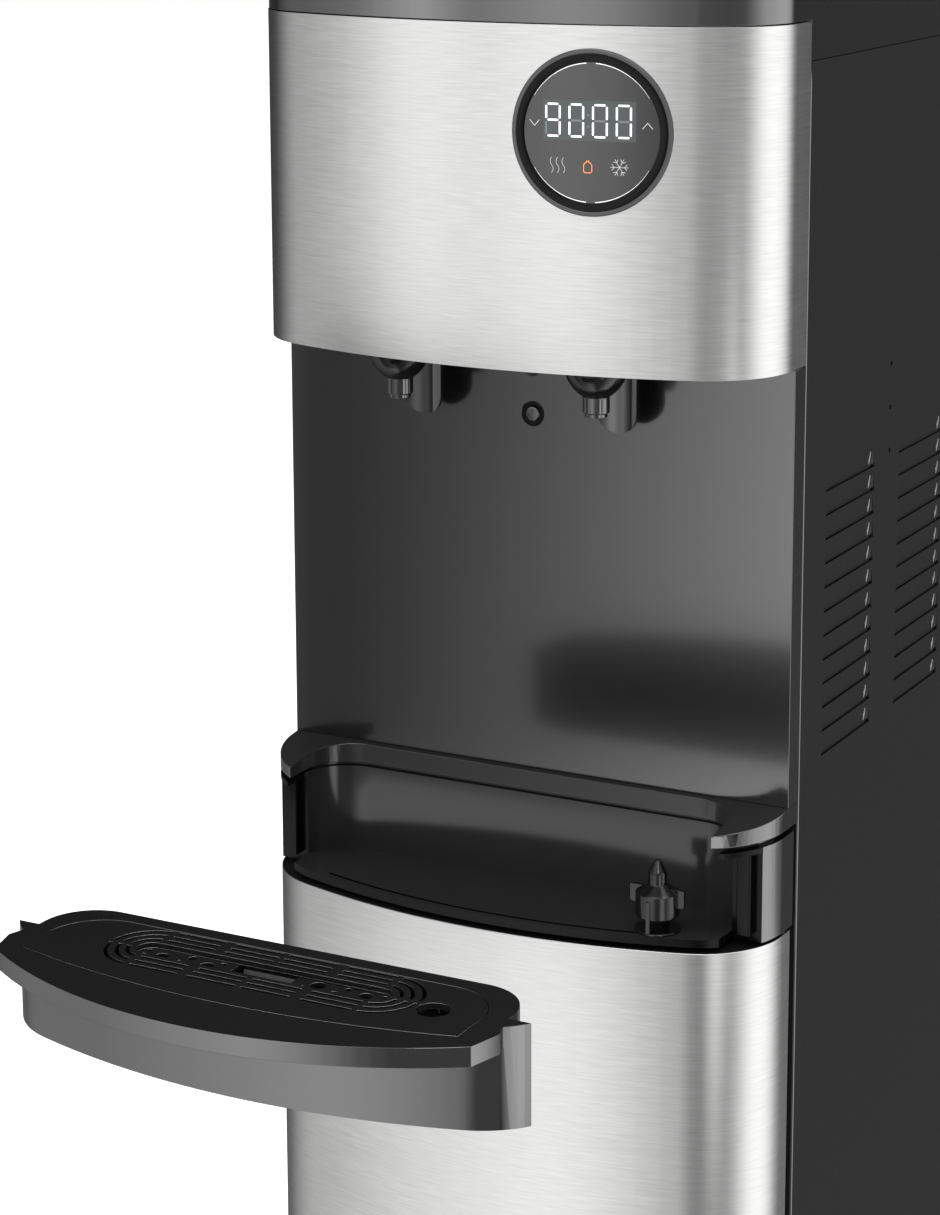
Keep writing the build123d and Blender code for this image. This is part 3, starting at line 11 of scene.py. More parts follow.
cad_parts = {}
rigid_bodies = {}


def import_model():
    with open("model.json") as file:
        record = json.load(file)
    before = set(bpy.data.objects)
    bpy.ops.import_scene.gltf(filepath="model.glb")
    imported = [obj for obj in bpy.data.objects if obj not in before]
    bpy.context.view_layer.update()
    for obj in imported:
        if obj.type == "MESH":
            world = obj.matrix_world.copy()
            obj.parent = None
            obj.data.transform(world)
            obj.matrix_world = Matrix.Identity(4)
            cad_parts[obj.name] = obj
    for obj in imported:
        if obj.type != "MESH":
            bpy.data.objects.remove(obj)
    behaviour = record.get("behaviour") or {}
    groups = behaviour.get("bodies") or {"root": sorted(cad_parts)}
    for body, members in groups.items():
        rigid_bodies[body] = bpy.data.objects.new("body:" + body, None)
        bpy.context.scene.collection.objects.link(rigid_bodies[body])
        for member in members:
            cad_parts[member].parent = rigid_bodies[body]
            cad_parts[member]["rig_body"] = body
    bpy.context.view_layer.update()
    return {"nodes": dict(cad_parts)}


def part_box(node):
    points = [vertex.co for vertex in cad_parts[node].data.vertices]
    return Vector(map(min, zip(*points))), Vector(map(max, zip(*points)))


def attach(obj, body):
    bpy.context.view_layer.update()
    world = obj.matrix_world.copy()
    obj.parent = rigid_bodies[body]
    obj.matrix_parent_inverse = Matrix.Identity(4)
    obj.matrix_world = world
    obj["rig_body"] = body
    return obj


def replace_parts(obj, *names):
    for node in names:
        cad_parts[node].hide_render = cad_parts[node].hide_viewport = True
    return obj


bl_info = {
    "name": "Water dispenser",
    "version": (1, 0, 0),
    "blender": (4, 5, 0),
    "location": "View3D > Sidebar > Dispenser",
    "description": "Dresses the CAD frame of a water dispenser",
    "category": "Object",
}

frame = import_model()
NODES = frame["nodes"]
MM = 0.001
CLOSE = 0.01 * MM


# Properties
def tint(name, description, default):
    """Colour property."""
    return FloatVectorProperty(name=name, description=description, default=default, subtype="COLOR", size=3,
                               min=0, max=1)


def length(name, description, millimetres):
    """Length property, given in millimetres."""
    return FloatProperty(name=name, description=description, default=millimetres * MM, unit="LENGTH",
                         subtype="DISTANCE")


def share(name, description, default):
    """Property from 0 to 1."""
    return FloatProperty(name=name, description=description, default=default, min=0, max=1, subtype="FACTOR")


class DispenserFinishes(bpy.types.PropertyGroup):
    """Colours and gloss of the outside."""

    steel: tint("Steel", "Brushed steel of the fascia and the door", (0.60, 0.60, 0.595))
    steel_roughness: share("Steel roughness", "How far the brushing blurs reflections", 0.34)
    gloss_black: tint("Gloss black", "Moulded black of the cover, collar, bay and tray", (0.004, 0.004, 0.0042))
    gloss_roughness: share("Gloss roughness", "Blur of the gloss black", 0.12)
    niche_black: tint("Niche black", "Moulded black of the niche panel", (0.005, 0.005, 0.0052))
    niche_roughness: share("Niche roughness", "Blur of the niche panel", 0.2)
    matte_black: tint("Matte black", "Moulded black of the grille and the frames", (0.007, 0.007, 0.0072))
    sheet_black: tint("Sheet black", "Coated sheet of the sides and the back", (0.011, 0.011, 0.0113))
    edge: length("Edge radius", "Rounding of moulded edges", 0.5)
    sheet_edge: length("Sheet edge radius", "Rounding of sheet edges", 0.3)
    grille_edge: length("Grille edge radius", "Rounding of the grille's slots and holes", 0.6)


class DispenserDisplay(bpy.types.PropertyGroup):
    """Round display: sizes of its rings and signs, and its lights."""

    reading: StringProperty(name="Reading", description="Digits that the display shows", default="9000")
    lit: tint("Lit", "Colour of the lit segments", (1.0, 1.0, 1.0))
    alert: tint("Alert", "Colour of the bottle sign", (1.0, 0.28, 0.09))
    rim_width: length("Rim width", "Width of the grey rim", 2.3)
    bow: length("Bow", "Radius that the glass is bowed to", 399.2)
    digit_width: length("Digit width", "Width of one digit", 8.4)
    digit_height: length("Digit height", "Height of one digit", 17.4)
    digit_pitch: length("Digit pitch", "Distance from digit to digit", 12.6)
    stroke: length("Stroke", "Width of a segment", 1.05)


class DispenserStage(bpy.types.PropertyGroup):
    """Camera, light and floor."""

    azimuth: FloatProperty(name="Azimuth", description="Camera's turn from the front towards the right",
                           default=math.radians(27.168), subtype="ANGLE")
    elevation: FloatProperty(name="Elevation", description="Camera's downward look",
                             default=math.radians(11.243), subtype="ANGLE")
    place: FloatVectorProperty(name="Place", description="Camera's place", default=(0.7524, -1.4363, 1.1697),
                               subtype="TRANSLATION")
    lens: FloatProperty(name="Lens", description="Focal length on a 36 mm sensor", default=90.78, unit="CAMERA")
    shift_x: FloatProperty(name="Shift X", description="Sideways shift of the frame", default=-0.0492)
    shift_y: FloatProperty(name="Shift Y", description="Upward shift of the frame", default=-0.17)
    world: FloatProperty(name="World", description="Brightness of the brightest soft light", default=1.65, min=0)
    floor: tint("Floor", "Colour of the floor", (0.92, 0.92, 0.92))
    floor_glow: FloatProperty(name="Floor glow", description="Glow of the floor's light table", default=0.6, min=0)


# Shader maths
class Value:
    """A shader socket or a number: an expression on it adds the Math nodes it needs."""

    def __init__(self, tree, source):
        self.tree = tree
        self.source = source

    def math(self, operation, first, second=None):
        """Adds one Math node."""
        node = self.tree.nodes.new("ShaderNodeMath")
        node.operation = operation
        for socket, item in zip(node.inputs, (first, second)):
            source = item.source if isinstance(item, Value) else item
            if isinstance(source, bpy.types.NodeSocket):
                self.tree.links.new(source, socket)
            elif source is not None:
                socket.default_value = source
        return Value(self.tree, node.outputs[0])

    def __add__(self, other):
        return self.math("ADD", self, other)

    def __sub__(self, other):
        return self.math("SUBTRACT", self, other)

    def __rsub__(self, other):
        return self.math("SUBTRACT", other, self)

    def __mul__(self, other):
        return self.math("MULTIPLY", self, other)

    def clamped(self):
        """Kept from 0 to 1."""
        return self.math("MINIMUM", self.math("MAXIMUM", self, 0.0), 1.0)


class Nodes:
    """A node tree and the one way that nodes are added to it."""

    def __init__(self, tree):
        self.tree = tree

    def node(self, kind, settings=None, **sockets):
        """Adds a node, sets it up, then fills or links its sockets."""
        node = self.tree.nodes.new(kind)
        for key, value in (settings or {}).items():
            if key == "stops":
                self.ramp(node.color_ramp.elements, value)
            else:
                setattr(node, key, value)
        for key, value in sockets.items():
            self.feed(node.inputs[key.replace("_", " ")], value)
        return node

    def ramp(self, stops, levels):
        """Gives a colour ramp its grey stops, from (position, level) pairs."""
        while len(stops) > 1:
            stops.remove(stops[-1])
        for number, (position, level) in enumerate(levels):
            stop = stops.new(position) if number else stops[0]
            stop.position = position
            stop.color = (level, level, level, 1)

    def feed(self, socket, value):
        """Links a socket or a Value, or sets a plain one."""
        value = value.source if isinstance(value, Value) else value
        if isinstance(value, bpy.types.NodeSocket):
            self.tree.links.new(value, socket)
        else:
            socket.default_value = value


class Finish(Nodes):
    """One material round a Principled shader."""

    def __init__(self, name, **constants):
        self.material = bpy.data.materials.new(name)
        self.material.use_nodes = True
        super().__init__(self.material.node_tree)
        self.shader = self.tree.nodes["Principled BSDF"]
        for socket, value in constants.items():
            if not isinstance(value, (int, float)):
                value = (*value[:3], 1.0)
            self.shader.inputs[socket.replace("_", " ")].default_value = value

    def drive(self, socket, value):
        """Feeds one socket of the shader."""
        self.feed(self.shader.inputs[socket], value)

    def noise(self, scale, detail=2.0, stretch=(1.0, 1.0, 1.0)):
        """Noise on object coordinates, from 0 to 1, with its own stretch along each axis."""
        place = self.node("ShaderNodeTexCoord").outputs["Object"]
        mapped = self.node("ShaderNodeMapping", Vector=place, Scale=stretch).outputs["Vector"]
        noise = self.node("ShaderNodeTexNoise", Vector=mapped, Scale=scale, Detail=detail)
        return Value(self.tree, noise.outputs["Fac"])

    def mix(self, factor, first, second):
        """Colour between two others."""
        node = self.node("ShaderNodeMix", {"data_type": "RGBA"})
        self.feed(node.inputs["Factor"], factor)
        colours = [socket for socket in node.inputs if socket.type == "RGBA"]
        for socket, colour in zip(colours, (first, second)):
            self.feed(socket, (*colour[:3], 1.0))
        return [socket for socket in node.outputs if socket.type == "RGBA"][0]

    def bump(self, height, depth, strength=1.0):
        """Raises the surface by a height from 0 to 1 times a depth."""
        node = self.node("ShaderNodeBump", Height=height, Distance=depth, Strength=strength)
        self.drive("Normal", node.outputs["Normal"])


def scaled(colour, factor):
    """Colour made lighter or darker."""
    return tuple(min(1.0, part * factor) for part in colour)


# Finishes
FINISHES = {}
LACQUER = {"Specular_IOR_Level": 1.0, "Coat_Weight": 1.0, "Coat_IOR": 1.7, "Coat_Roughness": 0.1}


def finish(name):
    """Makes a finish once and keeps it."""
    if name not in FINISHES:
        FINISHES[name] = MAKERS[name](name)
    return FINISHES[name]


def settings():
    """The outside's colours and gloss."""
    return bpy.context.scene.dispenser_finishes


def tone(colour, values):
    """A colour as it is, or the one that a setting of that name holds."""
    return getattr(values, colour) if isinstance(colour, str) else colour


def brushed_steel(name):
    """Steel with fine level brushing."""
    values = settings()
    steel = Finish(name, Metallic=1.0, Anisotropic=0.55, Anisotropic_Rotation=0.25)
    fine = steel.noise(6.0, 3.0, (9.0, 9.0, 210.0))
    broad = steel.noise(5.0, 2.0, (5.0, 5.0, 90.0))
    streaks = (fine * 0.9 + broad * 0.1).clamped()
    steel.drive("Base Color", steel.mix(streaks, scaled(values.steel, 0.76), scaled(values.steel, 1.2)))
    steel.drive("Roughness", streaks * 0.10 + (values.steel_roughness - 0.05))
    steel.bump(streaks, 0.00003)
    return steel.material


def lacquered(kind, scale, play):
    """Maker of a polished black moulding, with its colour and blur from the settings."""
    def make(name):
        values = settings()
        gloss = Finish(name, Base_Color=getattr(values, f"{kind}_black"), **LACQUER)
        wave = gloss.noise(scale, 1.0)
        gloss.drive("Roughness", wave * play + (getattr(values, f"{kind}_roughness") - play / 2))
        return gloss.material
    return make


def inner_black(name):
    """Polished black of the bay's inside, with less shine than the lacquered outside; its colour is the gloss black
    made 4.2 times lighter, painted light that fills the shaded bay.
    """
    colour = scaled(settings().gloss_black, 4.2)
    return Finish(name, Base_Color=colour, Roughness=0.13, Specular_IOR_Level=0.55).material


def grained(colour, roughness, grain, depth, specular=0.3):
    """Maker of a moulding or coating with a fine grain. Its colour may be the name of a setting."""
    def make(name):
        skin = Finish(name, Base_Color=tone(colour, settings()), Specular_IOR_Level=specular)
        speckle = skin.noise(grain, 2.0)
        skin.drive("Roughness", speckle * 0.12 + (roughness - 0.06))
        skin.bump(speckle, depth, 0.6)
        return skin.material
    return make


def plain(colour, roughness, metallic=0.0, specular=0.5):
    """Maker of an even finish."""
    def make(name):
        return Finish(name, Base_Color=colour, Roughness=roughness, Metallic=metallic,
                      Specular_IOR_Level=specular).material
    return make


def lamp(colour, strength, level=1.0):
    """Maker of a shining finish. Its colour may be the name of one of the display's settings."""
    def make(name):
        shine = scaled(tone(colour, bpy.context.scene.dispenser_display), level)
        return Finish(name, Base_Color=scaled(shine, 0.5), Roughness=0.4, Emission_Color=shine,
                      Emission_Strength=strength).material
    return make


def galvanised(name):
    """Zinc-coated sheet with a soft spangle."""
    sheet = Finish(name, Metallic=1.0)
    spangle = sheet.noise(90.0, 1.0)
    sheet.drive("Base Color", sheet.mix(spangle, (0.40, 0.41, 0.42), (0.58, 0.59, 0.60)))
    sheet.drive("Roughness", spangle * 0.2 + 0.3)
    return sheet.material


# Every finish by its name
MAKERS = {
    "brushed_steel": brushed_steel,
    "galvanised": galvanised,
    "gloss_black": lacquered("gloss", 60.0, 0.03),
    "niche_black": lacquered("niche", 40.0, 0.02),
    "inner_black": inner_black,
    "satin_black": grained("gloss_black", 0.17, 900.0, 0.000005, 0.55),
    "grille_black": grained("matte_black", 0.45, 1600.0, 0.00001, 0.22),
    "matte_black": grained("matte_black", 0.42, 1600.0, 0.00002),
    "sheet_black": grained("sheet_black", 0.55, 1100.0, 0.00002, 0.16),
    "rubber": grained((0.02, 0.02, 0.02), 0.75, 900.0, 0.00003),
    "foam": grained((0.72, 0.68, 0.56), 0.9, 300.0, 0.0002),
    "enamel": grained((0.012, 0.012, 0.012), 0.38, 500.0, 0.00002, 0.5),
    "ring_black": plain((0.002, 0.002, 0.002), 0.22, specular=0.15),
    "display_glass": plain((0.006, 0.006, 0.0062), 0.08, specular=0.95),
    "rim_grey": plain((0.05, 0.05, 0.05), 0.3),
    "window_grey": lamp((0.05, 0.058, 0.058), 1.0),
    "led_white": lamp("lit", 1.1),
    "led_grey": lamp("lit", 1.0, 0.55),
    "led_orange": lamp("alert", 1.1),
    "led_unlit": lamp((0.13, 0.14, 0.14), 1.0),
    "board_green": plain((0.02, 0.12, 0.05), 0.5),
    "smoked": plain((0.012, 0.012, 0.012), 0.15),
    # Light grey metal on the black grille's bevelled edges: painted highlight.
    "edge_sheen": plain((0.5, 0.5, 0.5), 0.35, 1.0),
    "grip_grey": plain((0.10, 0.10, 0.10), 0.5),
    "zinc": plain((0.55, 0.55, 0.53), 0.35, 1.0),
    "magnet_grey": plain((0.12, 0.12, 0.125), 0.5, 1.0),
    "tank_steel": plain((0.6, 0.6, 0.6), 0.3, 1.0),
    "silicone": plain((0.75, 0.75, 0.72), 0.35),
    "probe_white": plain((0.8, 0.8, 0.78), 0.4),
    "switch_red": plain((0.45, 0.02, 0.02), 0.25),
    "switch_green": plain((0.02, 0.25, 0.06), 0.25),
}


# Modelling helpers
SMOOTH_TO = math.radians(32)
ROUND_FROM = math.radians(40)


def piece(name, bm, look, node):
    """Closes a bmesh into a smooth piece with a finish, which rides on a CAD node's body and has its slot."""
    mesh = bpy.data.meshes.new(name)
    bm.to_mesh(mesh)
    bm.free()
    mesh.materials.append(finish(look))
    made = bpy.data.objects.new(name, mesh)
    bpy.context.scene.collection.objects.link(made)
    mesh.shade_smooth()
    mesh.set_sharp_from_angle(angle=SMOOTH_TO)
    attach(made, body_of(node))
    return made


def body_of(node):
    """CAD body that a node belongs to."""
    return NODES[node]["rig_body"]


def coat(look, *nodes):
    """Gives CAD nodes a finish."""
    for node in nodes:
        mesh = NODES[node].data
        mesh.materials.clear()
        mesh.materials.append(finish(look))


def merged(node):
    """Merged copy of a CAD node's mesh."""
    bm = bmesh.new()
    bm.from_mesh(NODES[node].data)
    bmesh.ops.remove_doubles(bm, verts=bm.verts, dist=0.002 * MM)
    bmesh.ops.dissolve_limit(bm, angle_limit=math.radians(0.1), verts=bm.verts, edges=bm.edges)
    return bm


def softened(node, look, radius, bm=None, *others):
    """Copy of a CAD node with rounded edges, which stands for the node: its faces may use other finishes too."""
    made = piece(f"{node}_look", bm or merged(node), look, node)
    for other in others:
        made.data.materials.append(finish(other))
    bevel = made.modifiers.new("Edges", "BEVEL")
    bevel.width = radius
    bevel.segments = 2
    bevel.limit_method = "ANGLE"
    bevel.angle_limit = ROUND_FROM
    bevel.use_clamp_overlap = True
    normals = made.modifiers.new("Normals", "WEIGHTED_NORMAL")
    normals.keep_sharp = True
    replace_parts(made, node)
    return made


def block(low, high):
    """Box between two corners."""
    low, high = Vector(low), Vector(high)
    bm = bmesh.new()
    bmesh.ops.create_cube(bm, size=1, matrix=Matrix.Translation((low + high) / 2) @ Matrix.Diagonal((*(high - low), 1)))
    return bm


def cut(bm, point, way, keep=lambda face: True, near=0.001 * MM):
    """Splits the faces that a test picks along a plane. Corners nearer than a distance count as on it."""
    faces = [face for face in bm.faces if keep(face)]
    edges = {edge for face in faces for edge in face.edges}
    verts = {vert for face in faces for vert in face.verts}
    bmesh.ops.bisect_plane(bm, geom=[*verts, *edges, *faces], dist=near, plane_co=point, plane_no=way)


# Arcs of the bowed fronts: middle's depth, radius and half width
BOW = (361.3 * MM, 398.97 * MM, 119.2 * MM)
COVER_BOW = (361.3 * MM, 398.47 * MM, 118.8 * MM)
TRAY_BOW = (111.3 * MM, 398.97 * MM, 119.2 * MM)
LIP_BOW = (-88.9 * MM, 239.08 * MM, 132.9 * MM)
BOW_STEP = 4.0 * MM
BOW_PLAY = 0.06 * MM


def refine_bow(bm, centre, radius, half):
    """Cuts a bowed front into narrow strips and moves their corners onto the true arc."""
    def off(point):
        """Distance from the arc, or more than any play beyond its ends."""
        return abs(math.hypot(point.x, point.y - centre) - radius) if abs(point.x) < half + 0.1 * MM else 1.0

    def on_arc(face):
        """Tells whether a face stands upright on the arc."""
        upright = abs(face.normal.z) < 0.01
        return upright and all(off(vert.co) < BOW_PLAY and vert.co.y < centre for vert in face.verts)

    count = int(half / BOW_STEP)
    for number in range(-count, count + 1):
        cut(bm, (number * BOW_STEP, 0, 0), (1, 0, 0), on_arc, 0.2 * MM)
    for face in [face for face in bm.faces if on_arc(face)]:
        for vert in face.verts:
            vert.co.y = centre - math.sqrt(radius ** 2 - vert.co.x ** 2)


def bowed(node, *arcs):
    """Merged copy of a CAD node with its bowed fronts refined."""
    bm = merged(node)
    for arc_values in arcs:
        refine_bow(bm, *arc_values)
    return bm


def soften_all(look, radius, *nodes):
    """Softens several nodes alike."""
    for node in nodes:
        softened(node, look, radius)


def spun(profile, steps=96):
    """Turns an outline of (radius, height) points round Z."""
    bm = bmesh.new()
    verts = [bm.verts.new((radius, 0, height)) for radius, height in profile]
    edges = [bm.edges.new(pair) for pair in zip(verts, verts[1:])]
    bmesh.ops.spin(bm, geom=verts + edges, cent=(0, 0, 0), axis=(0, 0, 1), angle=math.tau, steps=steps, use_merge=True)
    bmesh.ops.remove_doubles(bm, verts=bm.verts, dist=0.001 * MM)
    bmesh.ops.recalc_face_normals(bm, faces=bm.faces)
    return bm


def bar(bm, start, end, width):
    """Flat bar with round ends from one point to another in the XY plane."""
    start, end = Vector(start), Vector(end)
    run = end - start
    turn = Matrix.Rotation(math.atan2(run.y, run.x), 4, "Z")
    middle = Matrix.Translation(((start + end) / 2).to_3d())
    scale = Matrix.Diagonal((run.length / 2, width / 2, 1, 1))
    bmesh.ops.create_grid(bm, x_segments=1, y_segments=1, size=1, matrix=middle @ turn @ scale)
    for point in (start, end):
        bmesh.ops.create_circle(bm, cap_ends=True, segments=10, radius=width / 2,
                                matrix=Matrix.Translation(point.to_3d()))


def stroke(bm, points, width):
    """Bars with round joints along a line of points."""
    for start, end in zip(points, points[1:]):
        bar(bm, start, end, width)


def arc(bm, radius, width, start, end, steps):
    """Flat band along a circle, between two angles."""
    inner = bm.verts.new(((radius - width / 2) * math.cos(start), (radius - width / 2) * math.sin(start), 0))
    outer = bm.verts.new(((radius + width / 2) * math.cos(start), (radius + width / 2) * math.sin(start), 0))
    edge = bm.edges.new((inner, outer))
    bmesh.ops.spin(bm, geom=[inner, outer, edge], cent=(0, 0, 0), axis=(0, 0, 1), angle=end - start, steps=steps)


# Casing
LOUVRE_COLUMNS = ((80.3 * MM, 153.9 * MM), (192.7 * MM, 266.3 * MM))
LOUVRE_END = 2.85 * MM
LOUVRE_EASE = 0.5
LOUVRE_FOOT = 647.1 * MM
LOUVRE_PITCH = 13.6 * MM
LOUVRE_ROWS = 12
DIMPLE = (0.8 * MM, 1.9 * MM, 4.2 * MM)
DIMPLE_DEPTH = 0.8 * MM
DIMPLE_INSET = 6.6 * MM
DIMPLE_RISE = 5.8 * MM
DIMPLE_LEAN = 0.12
FOLD_ROUND = 0.95 * MM


def ease_louvres(bm):
    """Makes the louvres shallower towards their front, and marks their rounded back ends for the gloss finish."""
    skin = max(vert.co.x for vert in bm.verts)
    moved = set()
    for face in bm.faces:
        middle = face.calc_center_median()
        for start, end in LOUVRE_COLUMNS:
            if start < middle.y < end and face.normal.x > 0.15 and skin - middle.x > 0.02 * MM:
                if middle.y > end - LOUVRE_END:
                    face.material_index = 1
                else:
                    moved.update(vert for vert in face.verts if vert.co.y < end - LOUVRE_END)
    for vert in moved:
        vert.co.x = skin - (skin - vert.co.x) * LOUVRE_EASE


def round_front(bm):
    """Rounds the sheet's front fold, which shines as a thin line."""
    skin = max(vert.co.x for vert in bm.verts)
    front = min(vert.co.y for vert in bm.verts)
    fold = [edge for edge in bm.edges
            if all(vert.co.x > skin - CLOSE and vert.co.y < front + CLOSE for vert in edge.verts)]
    made = bmesh.ops.bevel(bm, geom=fold, offset=FOLD_ROUND, affect="EDGES", segments=4, profile=0.5, material=-1)
    for face in made["faces"]:
        face.material_index = 1


class DISPENSER_OT_casing(bpy.types.Operator):
    """Top cover, side and back panels, base, feet and screws"""

    bl_idname = "dispenser.casing"
    bl_label = "Casing"

    def dimples(self, bm):
        """Small pressed swelling at the back end of every louvre."""
        skin = max(vert.co.x for vert in bm.verts)
        swellings = bmesh.new()
        lean = Matrix.Rotation(DIMPLE_LEAN, 4, "Y") @ Matrix.Diagonal((*DIMPLE, 1))
        for _, end in LOUVRE_COLUMNS:
            for row in range(LOUVRE_ROWS):
                place = (skin - DIMPLE_DEPTH, end - DIMPLE_INSET, LOUVRE_FOOT + row * LOUVRE_PITCH + DIMPLE_RISE)
                bmesh.ops.create_uvsphere(swellings, u_segments=16, v_segments=12, radius=1,
                                          matrix=Matrix.Translation(place) @ lean)
        piece("louvre_dimples", swellings, "gloss_black", "right_side_panel")

    def execute(self, context):
        values = settings()
        softened("top_cover", "gloss_black", values.edge, bowed("top_cover", COVER_BOW))
        soften_all("sheet_black", values.sheet_edge, "left_side_panel", "back_panel")
        louvred = merged("right_side_panel")
        ease_louvres(louvred)
        round_front(louvred)
        self.dimples(louvred)
        softened("right_side_panel", "sheet_black", values.sheet_edge, louvred, "gloss_black")
        softened("base_plinth", "matte_black", values.edge)
        coat("rubber", "levelling_feet")
        coat("zinc", "panel_screws")
        return {"FINISHED"}


class DISPENSER_OT_fascia(bpy.types.Operator):
    """Brushed steel fascia and the frame behind it"""

    bl_idname = "dispenser.fascia"
    bl_label = "Fascia"

    def execute(self, context):
        softened("fascia_skin", "brushed_steel", settings().sheet_edge, bowed("fascia_skin", BOW))
        coat("matte_black", "fascia_frame")
        return {"FINISHED"}


# Display
def display_plane(bow):
    """Matrix of the display's face at its middle: X to the right, Y up and Z out of the glass."""
    lens = NODES["display_lens"].data
    out = Vector((0, 0, 0))
    for face in lens.polygons:
        if face.normal.y < -0.9:
            out += face.normal * face.area
    out.normalize()
    low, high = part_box("display_lens")
    reach = max(vert.co.dot(out) for vert in lens.vertices)
    x = bow * out.x
    centre = Vector((x, (reach - x * out.x) / out.y, (low.z + high.z) / 2))
    up = Vector((0, 0, 1))
    side = up.cross(out)
    turn = Matrix((side, up, out)).transposed().to_4x4()
    return Matrix.Translation(centre) @ turn


SEGMENT_GAP = 1.15
DIGITS_MIDDLE = Vector((-1.5, 6.2)) * MM
COLON_RISE = 3.0 * MM
COLON_DOT = 0.6 * MM
WINDOW_MIDDLE = (-0.9 * MM, 6.2 * MM, 0)
WINDOW_HALF = (24.7 * MM, 10.4 * MM)
WINDOW_LIFT = 0.04 * MM
UNLIT_LIFT = 0.06 * MM
SIGN_LIFT = 0.09 * MM
RIM_PROUD = 1.0 * MM
HEAT_MIDDLE = (-17.9 * MM, -17.0 * MM)
HEAT_PITCH = 3.2 * MM
HEAT_HALF = 3.9 * MM
HEAT_SWING = 0.8 * MM
SNOW_MIDDLE = Vector((15.2, -17.2)) * MM
SNOW_SPOKE = 4.7 * MM
SNOW_FORK = 2.7 * MM
SNOW_TWIG = 1.9 * MM
SNOW_ANGLE = math.radians(48)
ARROWS = ((-30.5, -1), (29.8, 1))
ARROW_LEVEL = 4.4
ARROW_HALF = 1.5
ARROW_ARM = 2.6
SIGN_LINE = 0.22 * MM
ARROW_LINE = 0.3 * MM
BOTTLE_LINE = 0.4 * MM
BOTTLE_X = -1.6
BOTTLE_OUTLINE = ((-1.6, -20.4), (1.6, -20.4), (2.2, -19.8), (2.2, -16.4), (1.3, -15.3), (0.6, -15.1), (0.6, -14.4),
                  (-0.6, -14.4), (-0.6, -15.1), (-1.3, -15.3), (-2.2, -16.4), (-2.2, -19.8), (-1.6, -20.4))
ARC_STEPS = 11
ARC_START, ARC_TURN = 4, 5
ARC_INSET = 0.5 * MM
ARC_WIDTH, ARC_TAPER = 0.34, 0.025
SEGMENTS = {"0": "abcdef", "1": "bc", "2": "abged", "3": "abgcd", "4": "fgbc", "5": "afgcd", "6": "afgedc",
            "7": "abc", "8": "abcdefg", "9": "abcdfg"}


def segment_ends(name, half_width, half_height, gap):
    """Ends of one of the seven segments of a digit round the origin."""
    inner_x = half_width - gap
    ends = {
        "a": ((-inner_x, half_height), (inner_x, half_height)),
        "g": ((-inner_x, 0), (inner_x, 0)),
        "d": ((-inner_x, -half_height), (inner_x, -half_height)),
        "f": ((-half_width, gap), (-half_width, half_height - gap)),
        "b": ((half_width, gap), (half_width, half_height - gap)),
        "e": ((-half_width, gap - half_height), (-half_width, -gap)),
        "c": ((half_width, gap - half_height), (half_width, -gap)),
    }
    return ends[name]


